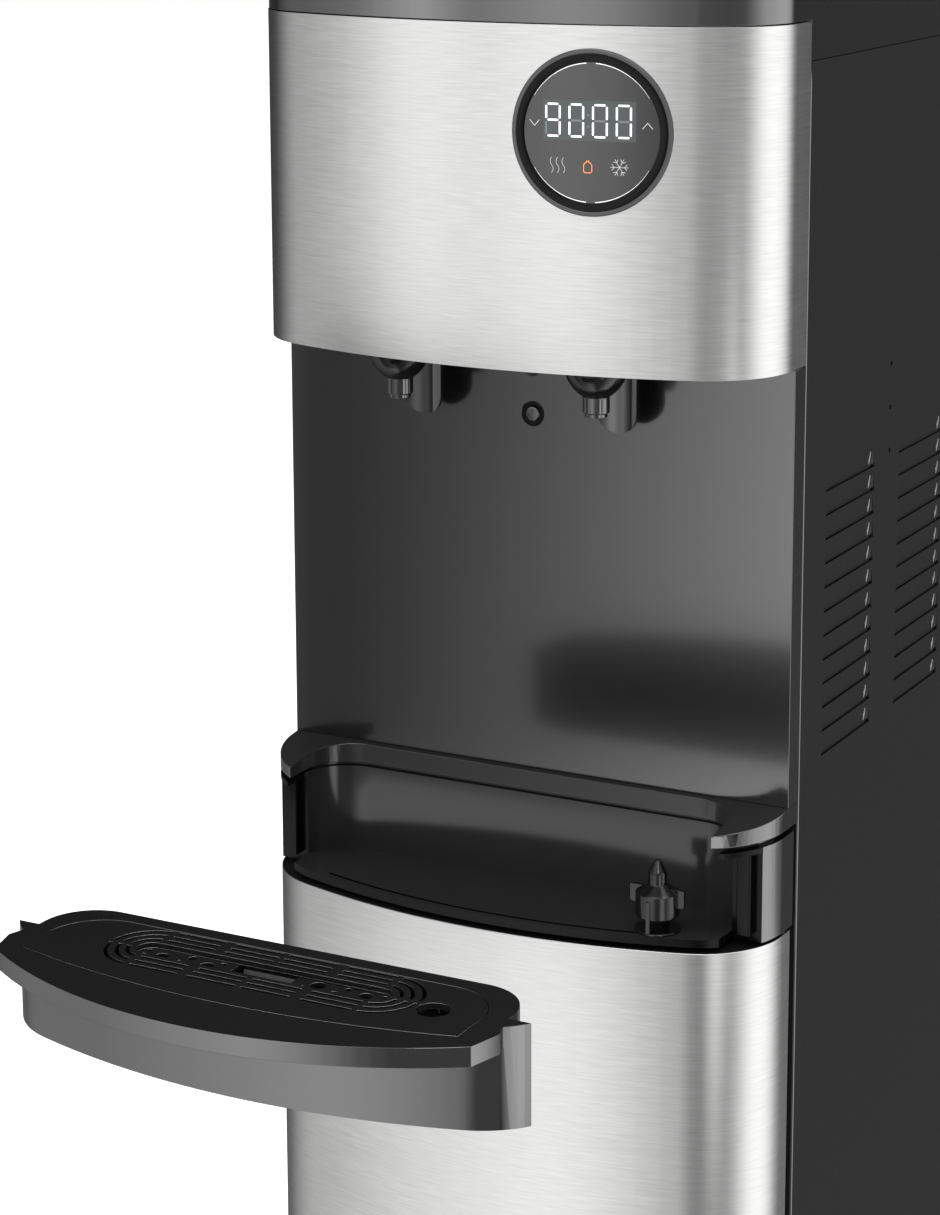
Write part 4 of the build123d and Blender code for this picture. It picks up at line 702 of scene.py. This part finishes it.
class DISPENSER_OT_display(bpy.types.Operator):
    """Round display with its rim, black ring, glass, digits and signs"""

    bl_idname = "dispenser.display"
    bl_label = "Display"

    def flat(self, name, bm, look, lift):
        """Bends a flat sign to the bow and places it on the glass."""
        for vert in bm.verts:
            vert.co.z += math.sqrt(self.bow ** 2 - vert.co.x ** 2) - self.bow
        bmesh.ops.transform(bm, matrix=self.plane @ Matrix.Translation((0, 0, lift)), verts=bm.verts)
        return piece(name, bm, look, "display_lens")

    def digits(self, values):
        """The reading's digits, with their dark segments faintly visible."""
        half_width = (values.digit_width - values.stroke) / 2
        half_height = (values.digit_height - values.stroke) / 2
        lit, unlit = bmesh.new(), bmesh.new()
        half_count = (len(values.reading) - 1) / 2
        for place, sign in enumerate(values.reading):
            middle = DIGITS_MIDDLE + Vector(((place - half_count) * values.digit_pitch, 0))
            for name in "abcdefg":
                start, end = segment_ends(name, half_width, half_height, SEGMENT_GAP * values.stroke)
                target = lit if name in SEGMENTS[sign] else unlit
                bar(target, middle + Vector(start), middle + Vector(end), values.stroke)
        for rise in (-COLON_RISE, COLON_RISE):
            dot = DIGITS_MIDDLE + Vector((0, rise))
            bmesh.ops.create_circle(unlit, cap_ends=True, segments=12, radius=COLON_DOT,
                                    matrix=Matrix.Translation(dot.to_3d()))
        self.flat("display_digits", lit, "led_white", SIGN_LIFT)
        self.flat("display_unlit", unlit, "led_unlit", UNLIT_LIFT)

    def signs(self):
        """Heat waves, bottle outline, snowflake and the two arrows."""
        marks = bmesh.new()
        for step in (-1, 0, 1):
            wave = []
            for part in range(13):
                rise = part / 6 - 1
                wave.append((HEAT_MIDDLE[0] + HEAT_PITCH * step - HEAT_SWING * math.sin(rise * math.pi),
                             HEAT_MIDDLE[1] + rise * HEAT_HALF))
            stroke(marks, wave, SIGN_LINE)
        for spoke in range(6):
            way = Vector((math.cos(spoke * math.pi / 3), math.sin(spoke * math.pi / 3)))
            stroke(marks, (SNOW_MIDDLE, SNOW_MIDDLE + way * SNOW_SPOKE), SIGN_LINE)
            fork = SNOW_MIDDLE + way * SNOW_FORK
            for side in (-1, 1):
                twig = Matrix.Rotation(side * SNOW_ANGLE, 2) @ way
                stroke(marks, (fork, fork + twig * SNOW_TWIG), SIGN_LINE)
        for x, way in ARROWS:
            tip = Vector((x, ARROW_LEVEL + ARROW_HALF * way)) * MM
            arms = [tip + Vector((side * ARROW_ARM, -2 * ARROW_HALF * way)) * MM for side in (-1, 1)]
            stroke(marks, (arms[0], tip, arms[1]), ARROW_LINE)
        self.flat("display_signs", marks, "led_grey", SIGN_LIFT)
        bottle = bmesh.new()
        stroke(bottle, [Vector((x + BOTTLE_X, y)) * MM for x, y in BOTTLE_OUTLINE], BOTTLE_LINE)
        self.flat("display_bottle", bottle, "led_orange", SIGN_LIFT)

    def execute(self, context):
        values = context.scene.dispenser_display
        self.bow = values.bow
        self.plane = display_plane(self.bow)
        low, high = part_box("display_bezel")
        radius = (high.z - low.z) / 2
        low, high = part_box("display_lens")
        glass = (high.z - low.z) / 2
        inner = radius - values.rim_width
        rim = spun([(radius, -3 * MM), (radius, RIM_PROUD - 0.6 * MM), (radius - 0.6 * MM, RIM_PROUD),
                    (inner + 0.3 * MM, RIM_PROUD), (inner, RIM_PROUD - 0.3 * MM)])
        self.flat("display_rim", rim, "rim_grey", 0)
        ring = spun([(inner, RIM_PROUD - 0.3 * MM), (inner - 0.4 * MM, RIM_PROUD - 0.2 * MM),
                     (glass + 0.8 * MM, 0.5 * MM), (glass, 0.1 * MM), (glass, -1 * MM)])
        made = self.flat("display_ring", ring, "ring_black", 0)
        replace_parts(made, "display_bezel")
        coat("display_glass", "display_lens")
        window = bmesh.new()
        bmesh.ops.create_grid(window, x_segments=24, y_segments=1, size=1,
                              matrix=Matrix.Translation(WINDOW_MIDDLE) @ Matrix.Diagonal((*WINDOW_HALF, 1, 1)))
        self.flat("display_window", window, "window_grey", WINDOW_LIFT)
        self.digits(values)
        self.signs()
        glow = bmesh.new()
        for middle in (math.pi / 2, -math.pi / 2):
            for side in (-1, 1):
                for step in range(ARC_STEPS):
                    start, end = (middle + side * math.radians(ARC_START + ARC_TURN * part)
                                  for part in (step, step + 1))
                    arc(glow, glass - ARC_INSET, (ARC_WIDTH - ARC_TAPER * step) * MM, start, end, 4)
        bmesh.ops.recalc_face_normals(glow, faces=glow.faces)
        self.flat("display_arcs", glow, "led_white", SIGN_LIFT)
        coat("board_green", "display_board")
        return {"FINISHED"}


# Niche
NOZZLE_TOP = 856.9 * MM
BUTTON_RING = ((0, -10), (8.9, -10), (8.9, 0), (6.9, 0), (6.9, 2.5), (6.75, 2.85), (6.4, 3.0), (4.8, 3.0), (4.5, 2.85),
               (4.4, 2.5), (4.4, -8), (0, -8))
BUTTON_DISC = ((0, -4.5), (4.2, -4.5), (4.2, 2.7), (4.1, 3.1), (3.9, 3.35), (3.5, 3.5), (0, 3.5))
BUTTON_FACE = 36.27 * MM


class DISPENSER_OT_niche(bpy.types.Operator):
    """Niche panel, night light and round button"""

    bl_idname = "dispenser.niche"
    bl_label = "Niche"

    def execute(self, context):
        softened("niche_panel", "niche_black", settings().sheet_edge)
        coat("smoked", "night_light")
        low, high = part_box("lock_button")
        facing = Matrix.Translation((0, BUTTON_FACE, (low.z + high.z) / 2)) @ Matrix.Rotation(math.pi / 2, 4, "X")
        for node, profile, look in (("button_bezel", BUTTON_RING, "ring_black"),
                                    ("lock_button", BUTTON_DISC, "niche_black")):
            bm = spun([(radius * MM, out * MM) for radius, out in profile], 64)
            bmesh.ops.transform(bm, matrix=facing, verts=bm.verts)
            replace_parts(piece(f"{node}_look", bm, look, node), node)
        return {"FINISHED"}


class DISPENSER_OT_taps(bpy.types.Operator):
    """Taps and paddles, with their valves, pins and switches"""

    bl_idname = "dispenser.taps"
    bl_label = "Taps"

    def execute(self, context):
        values = settings()
        for node in ("hot_tap", "cold_tap"):
            tap = merged(node)
            for face in tap.faces:
                face.material_index = 1 if face.calc_center_median().z < NOZZLE_TOP else 0
            softened(node, "satin_black", values.sheet_edge, tap, "gloss_black")
        soften_all("gloss_black", values.sheet_edge, "hot_paddle", "cold_paddle")
        coat("matte_black", "tap_valves", "paddle_switches")
        coat("zinc", "paddle_pins")
        return {"FINISHED"}


# Tray
FINGER_HALF = 17.0 * MM
FINGER_HOLE = (-259.07 * MM, -247.07 * MM)
FINGER_GROWTH = 1.35
GRIP = ((-15.0, -246.2, 601.8), (15.0, -245.2, 607.2))
FLAP_INSET = 3.1 * MM
FLAP_THICK = 0.5 * MM
FLAP_SIDE = 1.0 * MM
FLAP_LIFT = 7.0 * MM
FLAP_TOP = 32.0 * MM
SEAM_LEVEL = 616.0 * MM
SEAM_GROOVE = 2.0 * MM
FLOOR_LEVEL = 566.5 * MM
EAR_TOP = 613.0 * MM
EAR_INNER = 133.9 * MM
EAR_DEEP = 9.0 * MM
RIB = ((138.0, 146.0), (3.5, 9.0))
RIB_ROUND = 0.8 * MM
POST_INNER = 145.8 * MM


def deepen_seam(bm):
    """Presses a groove into the bay's inner wall just under the collar."""
    cut(bm, (0, 0, SEAM_LEVEL), (0, 0, 1))
    wall = []
    for face in bm.faces:
        middle = face.calc_center_median()
        across = max(abs(vert.co.x) for vert in face.verts)
        facing = face.normal.y < -0.5 or middle.x * face.normal.x < 0
        if middle.z > SEAM_LEVEL and abs(face.normal.z) < 0.1 and facing and across < EAR_INNER + 0.2 * MM:
            wall.append(face)
    bmesh.ops.inset_region(bm, faces=wall, thickness=0.05 * MM, depth=-SEAM_GROOVE)


def deepen_ears(bm):
    """Carries the notches for the tray's ears further back into the posts."""
    cut(bm, (0, 0, EAR_TOP), (0, 0, 1))
    cut(bm, (0, EAR_DEEP, 0), (0, 1, 0), lambda face: face.calc_center_median().z < EAR_TOP + 0.1 * MM)
    near = [abs(vert.co.x) for vert in bm.verts
            if abs(vert.co.y - EAR_DEEP) < CLOSE and EAR_INNER - 2 * MM < abs(vert.co.x) < EAR_INNER + 0.5 * MM]
    inner = min(near)
    for side in (-1, 1):
        cut(bm, (side * inner, 0, 0), (1, 0, 0), lambda face: face.calc_center_median().z < FLOOR_LEVEL + 0.1 * MM)
    gone = []
    for face in bm.faces:
        middle = face.calc_center_median()
        if abs(middle.x) > inner - CLOSE and middle.y < EAR_DEEP - CLOSE and middle.z < EAR_TOP + CLOSE:
            gone.append(face)
    bmesh.ops.delete(bm, geom=gone, context="FACES")
    for side in (-1, 1):
        rim = [vert for vert in bm.verts if vert.is_boundary and vert.co.x * side > 0]
        back = [vert for vert in rim if abs(vert.co.y - EAR_DEEP) < CLOSE]

        def corner(x_key, z_key):
            """Boundary vertex of the notch's back wall."""
            level = z_key(vert.co.z for vert in back)
            row = [vert for vert in back if abs(vert.co.z - level) < CLOSE]
            return x_key(row, key=lambda vert: abs(vert.co.x))

        ties = [(corner(min, max), corner(max, max))]
        floor = [vert for vert in back if abs(vert.co.z - FLOOR_LEVEL) < CLOSE]
        ties.append((min(floor, key=lambda vert: abs(vert.co.x)), corner(min, min)))
        for pair in ties:
            if not bm.edges.get(pair):
                bm.edges.new(pair)
    open_edges = [edge for edge in bm.edges if len(edge.link_faces) < 2]
    bmesh.ops.edgenet_fill(bm, edges=open_edges)
    bmesh.ops.recalc_face_normals(bm, faces=bm.faces)


def bay_finish(face):
    """Finish of one face of the bay: 0 outside of a post, 1 polished inside, 2 notch or lip, in the darker, duller ring
    black as painted shade.
    """
    middle = face.calc_center_median()
    outside = middle.x * face.normal.x > 0.15 * abs(middle.x)
    lintel = middle.z > EAR_TOP and middle.y < EAR_DEEP
    if abs(middle.x) > POST_INNER and outside and not lintel:
        return 0
    notch = abs(middle.x) > EAR_INNER
    lip = middle.z < FLOOR_LEVEL - 0.1 * MM
    # Notches and lip get the darker, duller ring black: painted shade in these recesses.
    return 2 if notch or lip else 1


class DISPENSER_OT_bay(bpy.types.Operator):
    """Tray bay with its collar and float"""

    bl_idname = "dispenser.bay"
    bl_label = "Tray bay"

    def ribs(self):
        """Rounded guide rib in each notch of the posts."""
        (near, far), (front, back) = RIB
        for side, name in ((-1, "left"), (1, "right")):
            ends = sorted((side * near * MM, side * far * MM))
            bm = block((ends[0], front * MM, FLOOR_LEVEL), (ends[1], back * MM, EAR_TOP))
            fronts = [edge for edge in bm.edges if all(vert.co.y < (front + 1) * MM for vert in edge.verts)
                      and abs(edge.verts[0].co.z - edge.verts[1].co.z) > 1 * MM]
            bmesh.ops.bevel(bm, geom=fronts, offset=RIB_ROUND, affect="EDGES", segments=6, profile=0.5, material=-1)
            piece(f"bay_rib_{name}", bm, "ring_black", "bay_housing")

    def execute(self, context):
        values = settings()
        collar = merged("tray_collar")
        for face in collar.faces:
            edge = abs(face.normal.z) < 0.3 and abs(face.calc_center_median().x) > EAR_INNER - 3 * MM
            face.material_index = 0 if edge else 1
        # Faces inside the collar take the inside black, made lighter as painted light for the shaded bay.
        softened("tray_collar", "gloss_black", values.edge, collar, "inner_black")
        housing = merged("bay_housing")
        deepen_seam(housing)
        deepen_ears(housing)
        for face in housing.faces:
            face.material_index = bay_finish(face)
        # Inside faces take the inside black, made lighter as painted light for the shaded bay.
        softened("bay_housing", "gloss_black", values.edge, housing, "inner_black", "ring_black")
        self.ribs()
        soften_all("satin_black", values.sheet_edge, "float_indicator", "float_guide")
        return {"FINISHED"}


class DISPENSER_OT_tray(bpy.types.Operator):
    """Drip tray and its grille"""

    bl_idname = "dispenser.tray"
    bl_label = "Drip tray"

    def flap(self):
        """Rubber flap that hangs over the float's slot in the tray's back wall."""
        low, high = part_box("drip_tray")
        float_low, float_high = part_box("float_indicator")
        back = high.y - FLAP_INSET
        bm = block((float_low.x - FLAP_SIDE, back - FLAP_THICK, low.z + FLAP_LIFT),
                   (float_high.x + FLAP_SIDE, back, low.z + FLAP_TOP))
        piece("float_slot_flap", bm, "rubber", "drip_tray")

    def execute(self, context):
        values = settings()
        tray = bowed("drip_tray", TRAY_BOW, LIP_BOW)
        for face in tray.faces:
            face.material_index = 1 if face.normal.z > 0.9 else 0
        softened("drip_tray", "gloss_black", values.edge, tray, "grille_black")
        plate = merged("drip_grille")
        middle = sum(FINGER_HOLE) / 2
        for vert in plate.verts:
            at_end = min(abs(vert.co.y - y) for y in FINGER_HOLE) < 0.1 * MM
            if at_end and abs(abs(vert.co.x) - FINGER_HALF) < 0.1 * MM:
                vert.co.y = middle + (vert.co.y - middle) * FINGER_GROWTH
        # The grille's bevel faces take the painted edge highlight.
        grille = softened("drip_grille", "grille_black", values.grille_edge, plate, "edge_sheen")
        grille.modifiers["Edges"].material = 1
        grip = block(*[[part * MM for part in corner] for corner in GRIP])
        piece("grille_grip", grip, "grip_grey", "drip_grille")
        self.flap()
        return {"FINISHED"}


# Door
class DISPENSER_OT_door(bpy.types.Operator):
    """Bottle door and the frame it closes on"""

    bl_idname = "dispenser.door"
    bl_label = "Door"

    def execute(self, context):
        values = settings()
        softened("door_skin", "brushed_steel", values.sheet_edge, bowed("door_skin", BOW))
        soften_all("matte_black", values.edge, "door_liner", "cabinet_frame")
        coat("rubber", "door_gasket")
        coat("magnet_grey", "door_magnet")
        coat("zinc", "hinge_pins")
        coat("matte_black", "hinge_bush")
        return {"FINISHED"}


# Inside and back
class DISPENSER_OT_inside(bpy.types.Operator):
    """Bottle space, shelves, compressor, tanks, hoses, pump and probe"""

    bl_idname = "dispenser.inside"
    bl_label = "Inside"

    def execute(self, context):
        coat("matte_black", "bottle_platform", "water_pump", "probe_clip")
        coat("galvanised", "mid_shelf", "tank_deck")
        coat("enamel", "compressor")
        coat("rubber", "compressor_grommets")
        coat("tank_steel", "hot_tank", "cold_tank")
        coat("foam", "hot_tank_jacket", "cold_tank_jacket")
        coat("silicone", "outlet_tubes", "probe_hose")
        coat("probe_white", "bottle_probe")
        return {"FINISHED"}


class DISPENSER_OT_back(bpy.types.Operator):
    """Condenser, switches, inlet and drain"""

    bl_idname = "dispenser.back"
    bl_label = "Back"

    def execute(self, context):
        coat("matte_black", "switch_plate", "power_inlet", "drain_cap", "condenser_brackets")
        coat("enamel", "condenser_coil", "condenser_wires")
        coat("switch_red", "hot_switch")
        coat("switch_green", "cold_switch")
        coat("gloss_black", "light_switch")
        return {"FINISHED"}


# Stage: light levels by azimuth, higher up and lower down, then cards and softboxes
BRIGHTEST = 1.4
SOFT_LIGHTS = ((-180, 0.03), (-100, 0.03), (-62, 0.34), (-52, 0.50), (-45, 0.86), (-38, 1.2), (-31, 0.80),
               (-28, 0.64), (-12, 1.0), (-4, 0.88), (4, 0.52), (10, 0.34), (16, 0.24), (52, 0.19), (70, 0.24),
               (86, 0.7), (97, 1.05), (120, 1.1), (131, 1.0), (140, 0.65), (145, 0.15), (149, 0.05), (180, 0.03))
LOW_LIGHTS = ((-180, 0.04), (-110, 0.1), (-85, 0.3), (-58, 0.46), (-38, 0.72), (-15, 1.0), (-4, 0.85), (4, 0.6),
              (12, 0.3), (20, 0.14), (52, 0.14), (70, 0.3), (86, 0.75), (97, 1.05), (120, 1.1), (131, 0.75), (140, 0.3),
              (152, 0.06), (180, 0.04))
LOW_FADE = (-0.16, -0.3)
SECOND_BOUNCE = 0.25
REFLECTORS = {"reflector_tray": ((0.60, -0.46, 0.39), (0.14, -0.25, 0.59), (0.20, 0.20), 2.4),
              "reflector_louvres": ((0.78, -0.40, 0.55), (0.155, 0.15, 0.72), (0.20, 0.20), 3.2)}
FLAG_Y = -0.13
FLAG_BOX = ((-0.27, 0.55), (0.10, 0.855))
FLAG_FADE = (-0.37, 0.10)
SOFTBOXES = {"softbox_top": ((0.2, -0.2, 3.2), (0, 0, 0.6), 2.4, 2.4, 40, True),
             "softbox_left": ((-2.4, -1.6, 2.0), (0, 0, 0.8), 2.6, 1.5, 40, False),
             "softbox_right": ((1.5, -2.2, 2.8), (0, 0, 0.8), 1.0, 1.0, 18, True)}


class DISPENSER_OT_stage(bpy.types.Operator):
    """Floor, surroundings, lights and camera"""

    bl_idname = "dispenser.stage"
    bl_label = "Stage"

    def softbox(self, name, place, target, width, height, power, mirrored):
        """Rectangular light that faces a point, and that reflections may leave out."""
        light = bpy.data.lights.new(name, "AREA")
        light.shape = "RECTANGLE"
        light.size, light.size_y = width, height
        light.energy = power
        holder = bpy.data.objects.new(name, light)
        holder.location = place
        holder.rotation_mode = "QUATERNION"
        holder.rotation_quaternion = (Vector(target) - Vector(place)).to_track_quat("-Z", "Y")
        holder.visible_glossy = mirrored
        bpy.context.scene.collection.objects.link(holder)

    def bands(self, sky, turn, levels):
        """Brightness round the object, from (azimuth, level) pairs."""
        stops = [(azimuth / 360 + 0.5, level / BRIGHTEST) for azimuth, level in levels]
        return sky.node("ShaderNodeValToRGB", {"stops": stops}, Fac=turn).outputs["Color"]

    def surroundings(self, strength):
        """Tall soft lights round the object as bands of azimuth, seen by the camera as plain white."""
        world = bpy.data.worlds.new("surroundings")
        bpy.context.scene.world = world
        world.use_nodes = True
        sky = Nodes(world.node_tree)
        place = sky.node("ShaderNodeTexCoord").outputs["Generated"]
        parts = sky.node("ShaderNodeSeparateXYZ", Vector=place).outputs
        across, depth, rise = (Value(sky.tree, parts[axis]) for axis in "XYZ")
        turn = across.math("ARCTAN2", across, depth * -1.0) * (1 / math.tau) + 0.5
        level, low = (Value(sky.tree, self.bands(sky, turn, stops)) for stops in (SOFT_LIGHTS, LOW_LIGHTS))
        sink = ((rise - LOW_FADE[0]) * (1 / (LOW_FADE[1] - LOW_FADE[0]))).clamped()
        path = sky.node("ShaderNodeLightPath").outputs
        bounces = Value(sky.tree, path["Glossy Depth"])
        dimming = 1.0 - bounces.math("GREATER_THAN", bounces, 1.5) * (1 - SECOND_BOUNCE)
        power = (level + (low - level) * sink) * dimming * (strength * BRIGHTEST)
        glow = sky.node("ShaderNodeBackground", Color=(1, 1, 1, 1), Strength=power).outputs[0]
        backdrop = sky.node("ShaderNodeBackground", Color=(1, 1, 1, 1)).outputs[0]
        mix = sky.node("ShaderNodeMixShader", Fac=path["Is Camera Ray"])
        sky.feed(mix.inputs[1], glow)
        sky.feed(mix.inputs[2], backdrop)
        sky.feed(sky.tree.nodes["World Output"].inputs["Surface"], mix.outputs[0])

    def plate(self, name, bm, material):
        """Adds a mesh to the stage."""
        mesh = bpy.data.meshes.new(name)
        bm.to_mesh(mesh)
        bm.free()
        mesh.materials.append(material)
        made = bpy.data.objects.new(name, mesh)
        bpy.context.scene.collection.objects.link(made)
        return made

    def card(self, name, material, matrix):
        """Adds a card that only reflections see."""
        bm = bmesh.new()
        bmesh.ops.create_grid(bm, x_segments=1, y_segments=1, size=1, matrix=matrix)
        made = self.plate(name, bm, material)
        made.visible_camera = made.visible_diffuse = made.visible_shadow = False

    def flag(self):
        """Dark card in front of the niche, thinning out towards its right."""
        card = Finish("flag", Base_Color=(0, 0, 0), Roughness=1.0, Specular_IOR_Level=0.0)
        place = card.node("ShaderNodeTexCoord").outputs["Object"]
        across = Value(card.tree, card.node("ShaderNodeSeparateXYZ", Vector=place).outputs["X"])
        left, right = FLAG_FADE
        clear = ((across - left) * (1 / (right - left))).clamped()
        card.drive("Alpha", 1.0 - clear * clear)
        low, high = FLAG_BOX
        middle = Matrix.Translation(((low[0] + high[0]) / 2, FLAG_Y, (low[1] + high[1]) / 2))
        size = Matrix.Diagonal(((high[0] - low[0]) / 2, (high[1] - low[1]) / 2, 1, 1))
        self.card("flag", card.material, middle @ Matrix.Rotation(math.pi / 2, 4, "X") @ size)

    def reflector(self, name, place, target, half, glow):
        """Bright card that faces a point, fading out towards its rim."""
        card = Finish(name, Base_Color=(0, 0, 0), Roughness=1.0, Specular_IOR_Level=0.0, Emission_Strength=glow)
        spot = card.node("ShaderNodeTexCoord").outputs["Object"]
        away = card.node("ShaderNodeVectorMath", {"operation": "DISTANCE"})
        card.feed(away.inputs[0], spot)
        card.feed(away.inputs[1], place)
        reach = Value(card.tree, away.outputs["Value"]) * (1 / max(half))
        card.drive("Emission Color", (1.0 - reach * reach).clamped())
        turn = (Vector(target) - Vector(place)).to_track_quat("Z", "Y").to_matrix().to_4x4()
        self.card(name, card.material, Matrix.Translation(place) @ turn @ Matrix.Diagonal((*half, 1, 1)))

    def execute(self, context):
        values = context.scene.dispenser_stage
        ground = bmesh.new()
        bmesh.ops.create_grid(ground, x_segments=1, y_segments=1, size=12)
        surface = Finish("floor", Base_Color=values.floor, Roughness=0.9, Specular_IOR_Level=0.0,
                         Emission_Color=(1, 1, 1), Emission_Strength=values.floor_glow)
        floor = self.plate("floor", ground, surface.material)
        floor.visible_glossy = False
        self.surroundings(values.world)
        self.flag()
        for name, setup in REFLECTORS.items():
            self.reflector(name, *setup)
        for name, setup in SOFTBOXES.items():
            self.softbox(name, *setup)
        camera = bpy.data.objects.new("camera", bpy.data.cameras.new("camera"))
        camera.data.sensor_width = 36
        camera.data.lens = values.lens
        camera.data.shift_x, camera.data.shift_y = values.shift_x, values.shift_y
        level = math.cos(values.elevation)
        look = Vector((-math.sin(values.azimuth) * level, math.cos(values.azimuth) * level,
                       -math.sin(values.elevation)))
        camera.location = values.place
        camera.rotation_mode = "QUATERNION"
        camera.rotation_quaternion = look.to_track_quat("-Z", "Y")
        context.scene.collection.objects.link(camera)
        context.scene.camera = camera
        context.scene.view_settings.view_transform = "Standard"
        return {"FINISHED"}


OPERATORS = (DISPENSER_OT_casing, DISPENSER_OT_fascia, DISPENSER_OT_display, DISPENSER_OT_niche, DISPENSER_OT_taps,
             DISPENSER_OT_bay, DISPENSER_OT_tray, DISPENSER_OT_door, DISPENSER_OT_inside, DISPENSER_OT_back,
             DISPENSER_OT_stage)
GROUPS = {"dispenser_finishes": DispenserFinishes, "dispenser_display": DispenserDisplay,
          "dispenser_stage": DispenserStage}


class DISPENSER_PT_panel(bpy.types.Panel):
    """Lists the dispenser's settings and pieces"""

    bl_idname = "DISPENSER_PT_panel"
    bl_label = "Water dispenser"
    bl_space_type = "VIEW_3D"
    bl_region_type = "UI"
    bl_category = "Dispenser"

    def draw(self, context):
        for group in GROUPS:
            box = self.layout.box()
            values = getattr(context.scene, group)
            for name in values.bl_rna.properties.keys():
                if name not in ("rna_type", "name"):
                    box.prop(values, name)
        for operator in OPERATORS:
            self.layout.operator(operator.bl_idname)


def register():
    """Registers the classes and their settings."""
    for group in GROUPS.values():
        bpy.utils.register_class(group)
    for name, group in GROUPS.items():
        setattr(bpy.types.Scene, name, PointerProperty(type=group))
    for made in (*OPERATORS, DISPENSER_PT_panel):
        bpy.utils.register_class(made)


def unregister():
    """Takes the classes and their settings away again."""
    for made in (DISPENSER_PT_panel, *reversed(OPERATORS)):
        bpy.utils.unregister_class(made)
    for name, group in GROUPS.items():
        delattr(bpy.types.Scene, name)
        bpy.utils.unregister_class(group)


def main():
    """Builds every piece and the stage."""
    register()
    for operator in OPERATORS:
        group, name = operator.bl_idname.split(".")
        getattr(getattr(bpy.ops, group), name)()


if __name__ == "__main__":
    main()
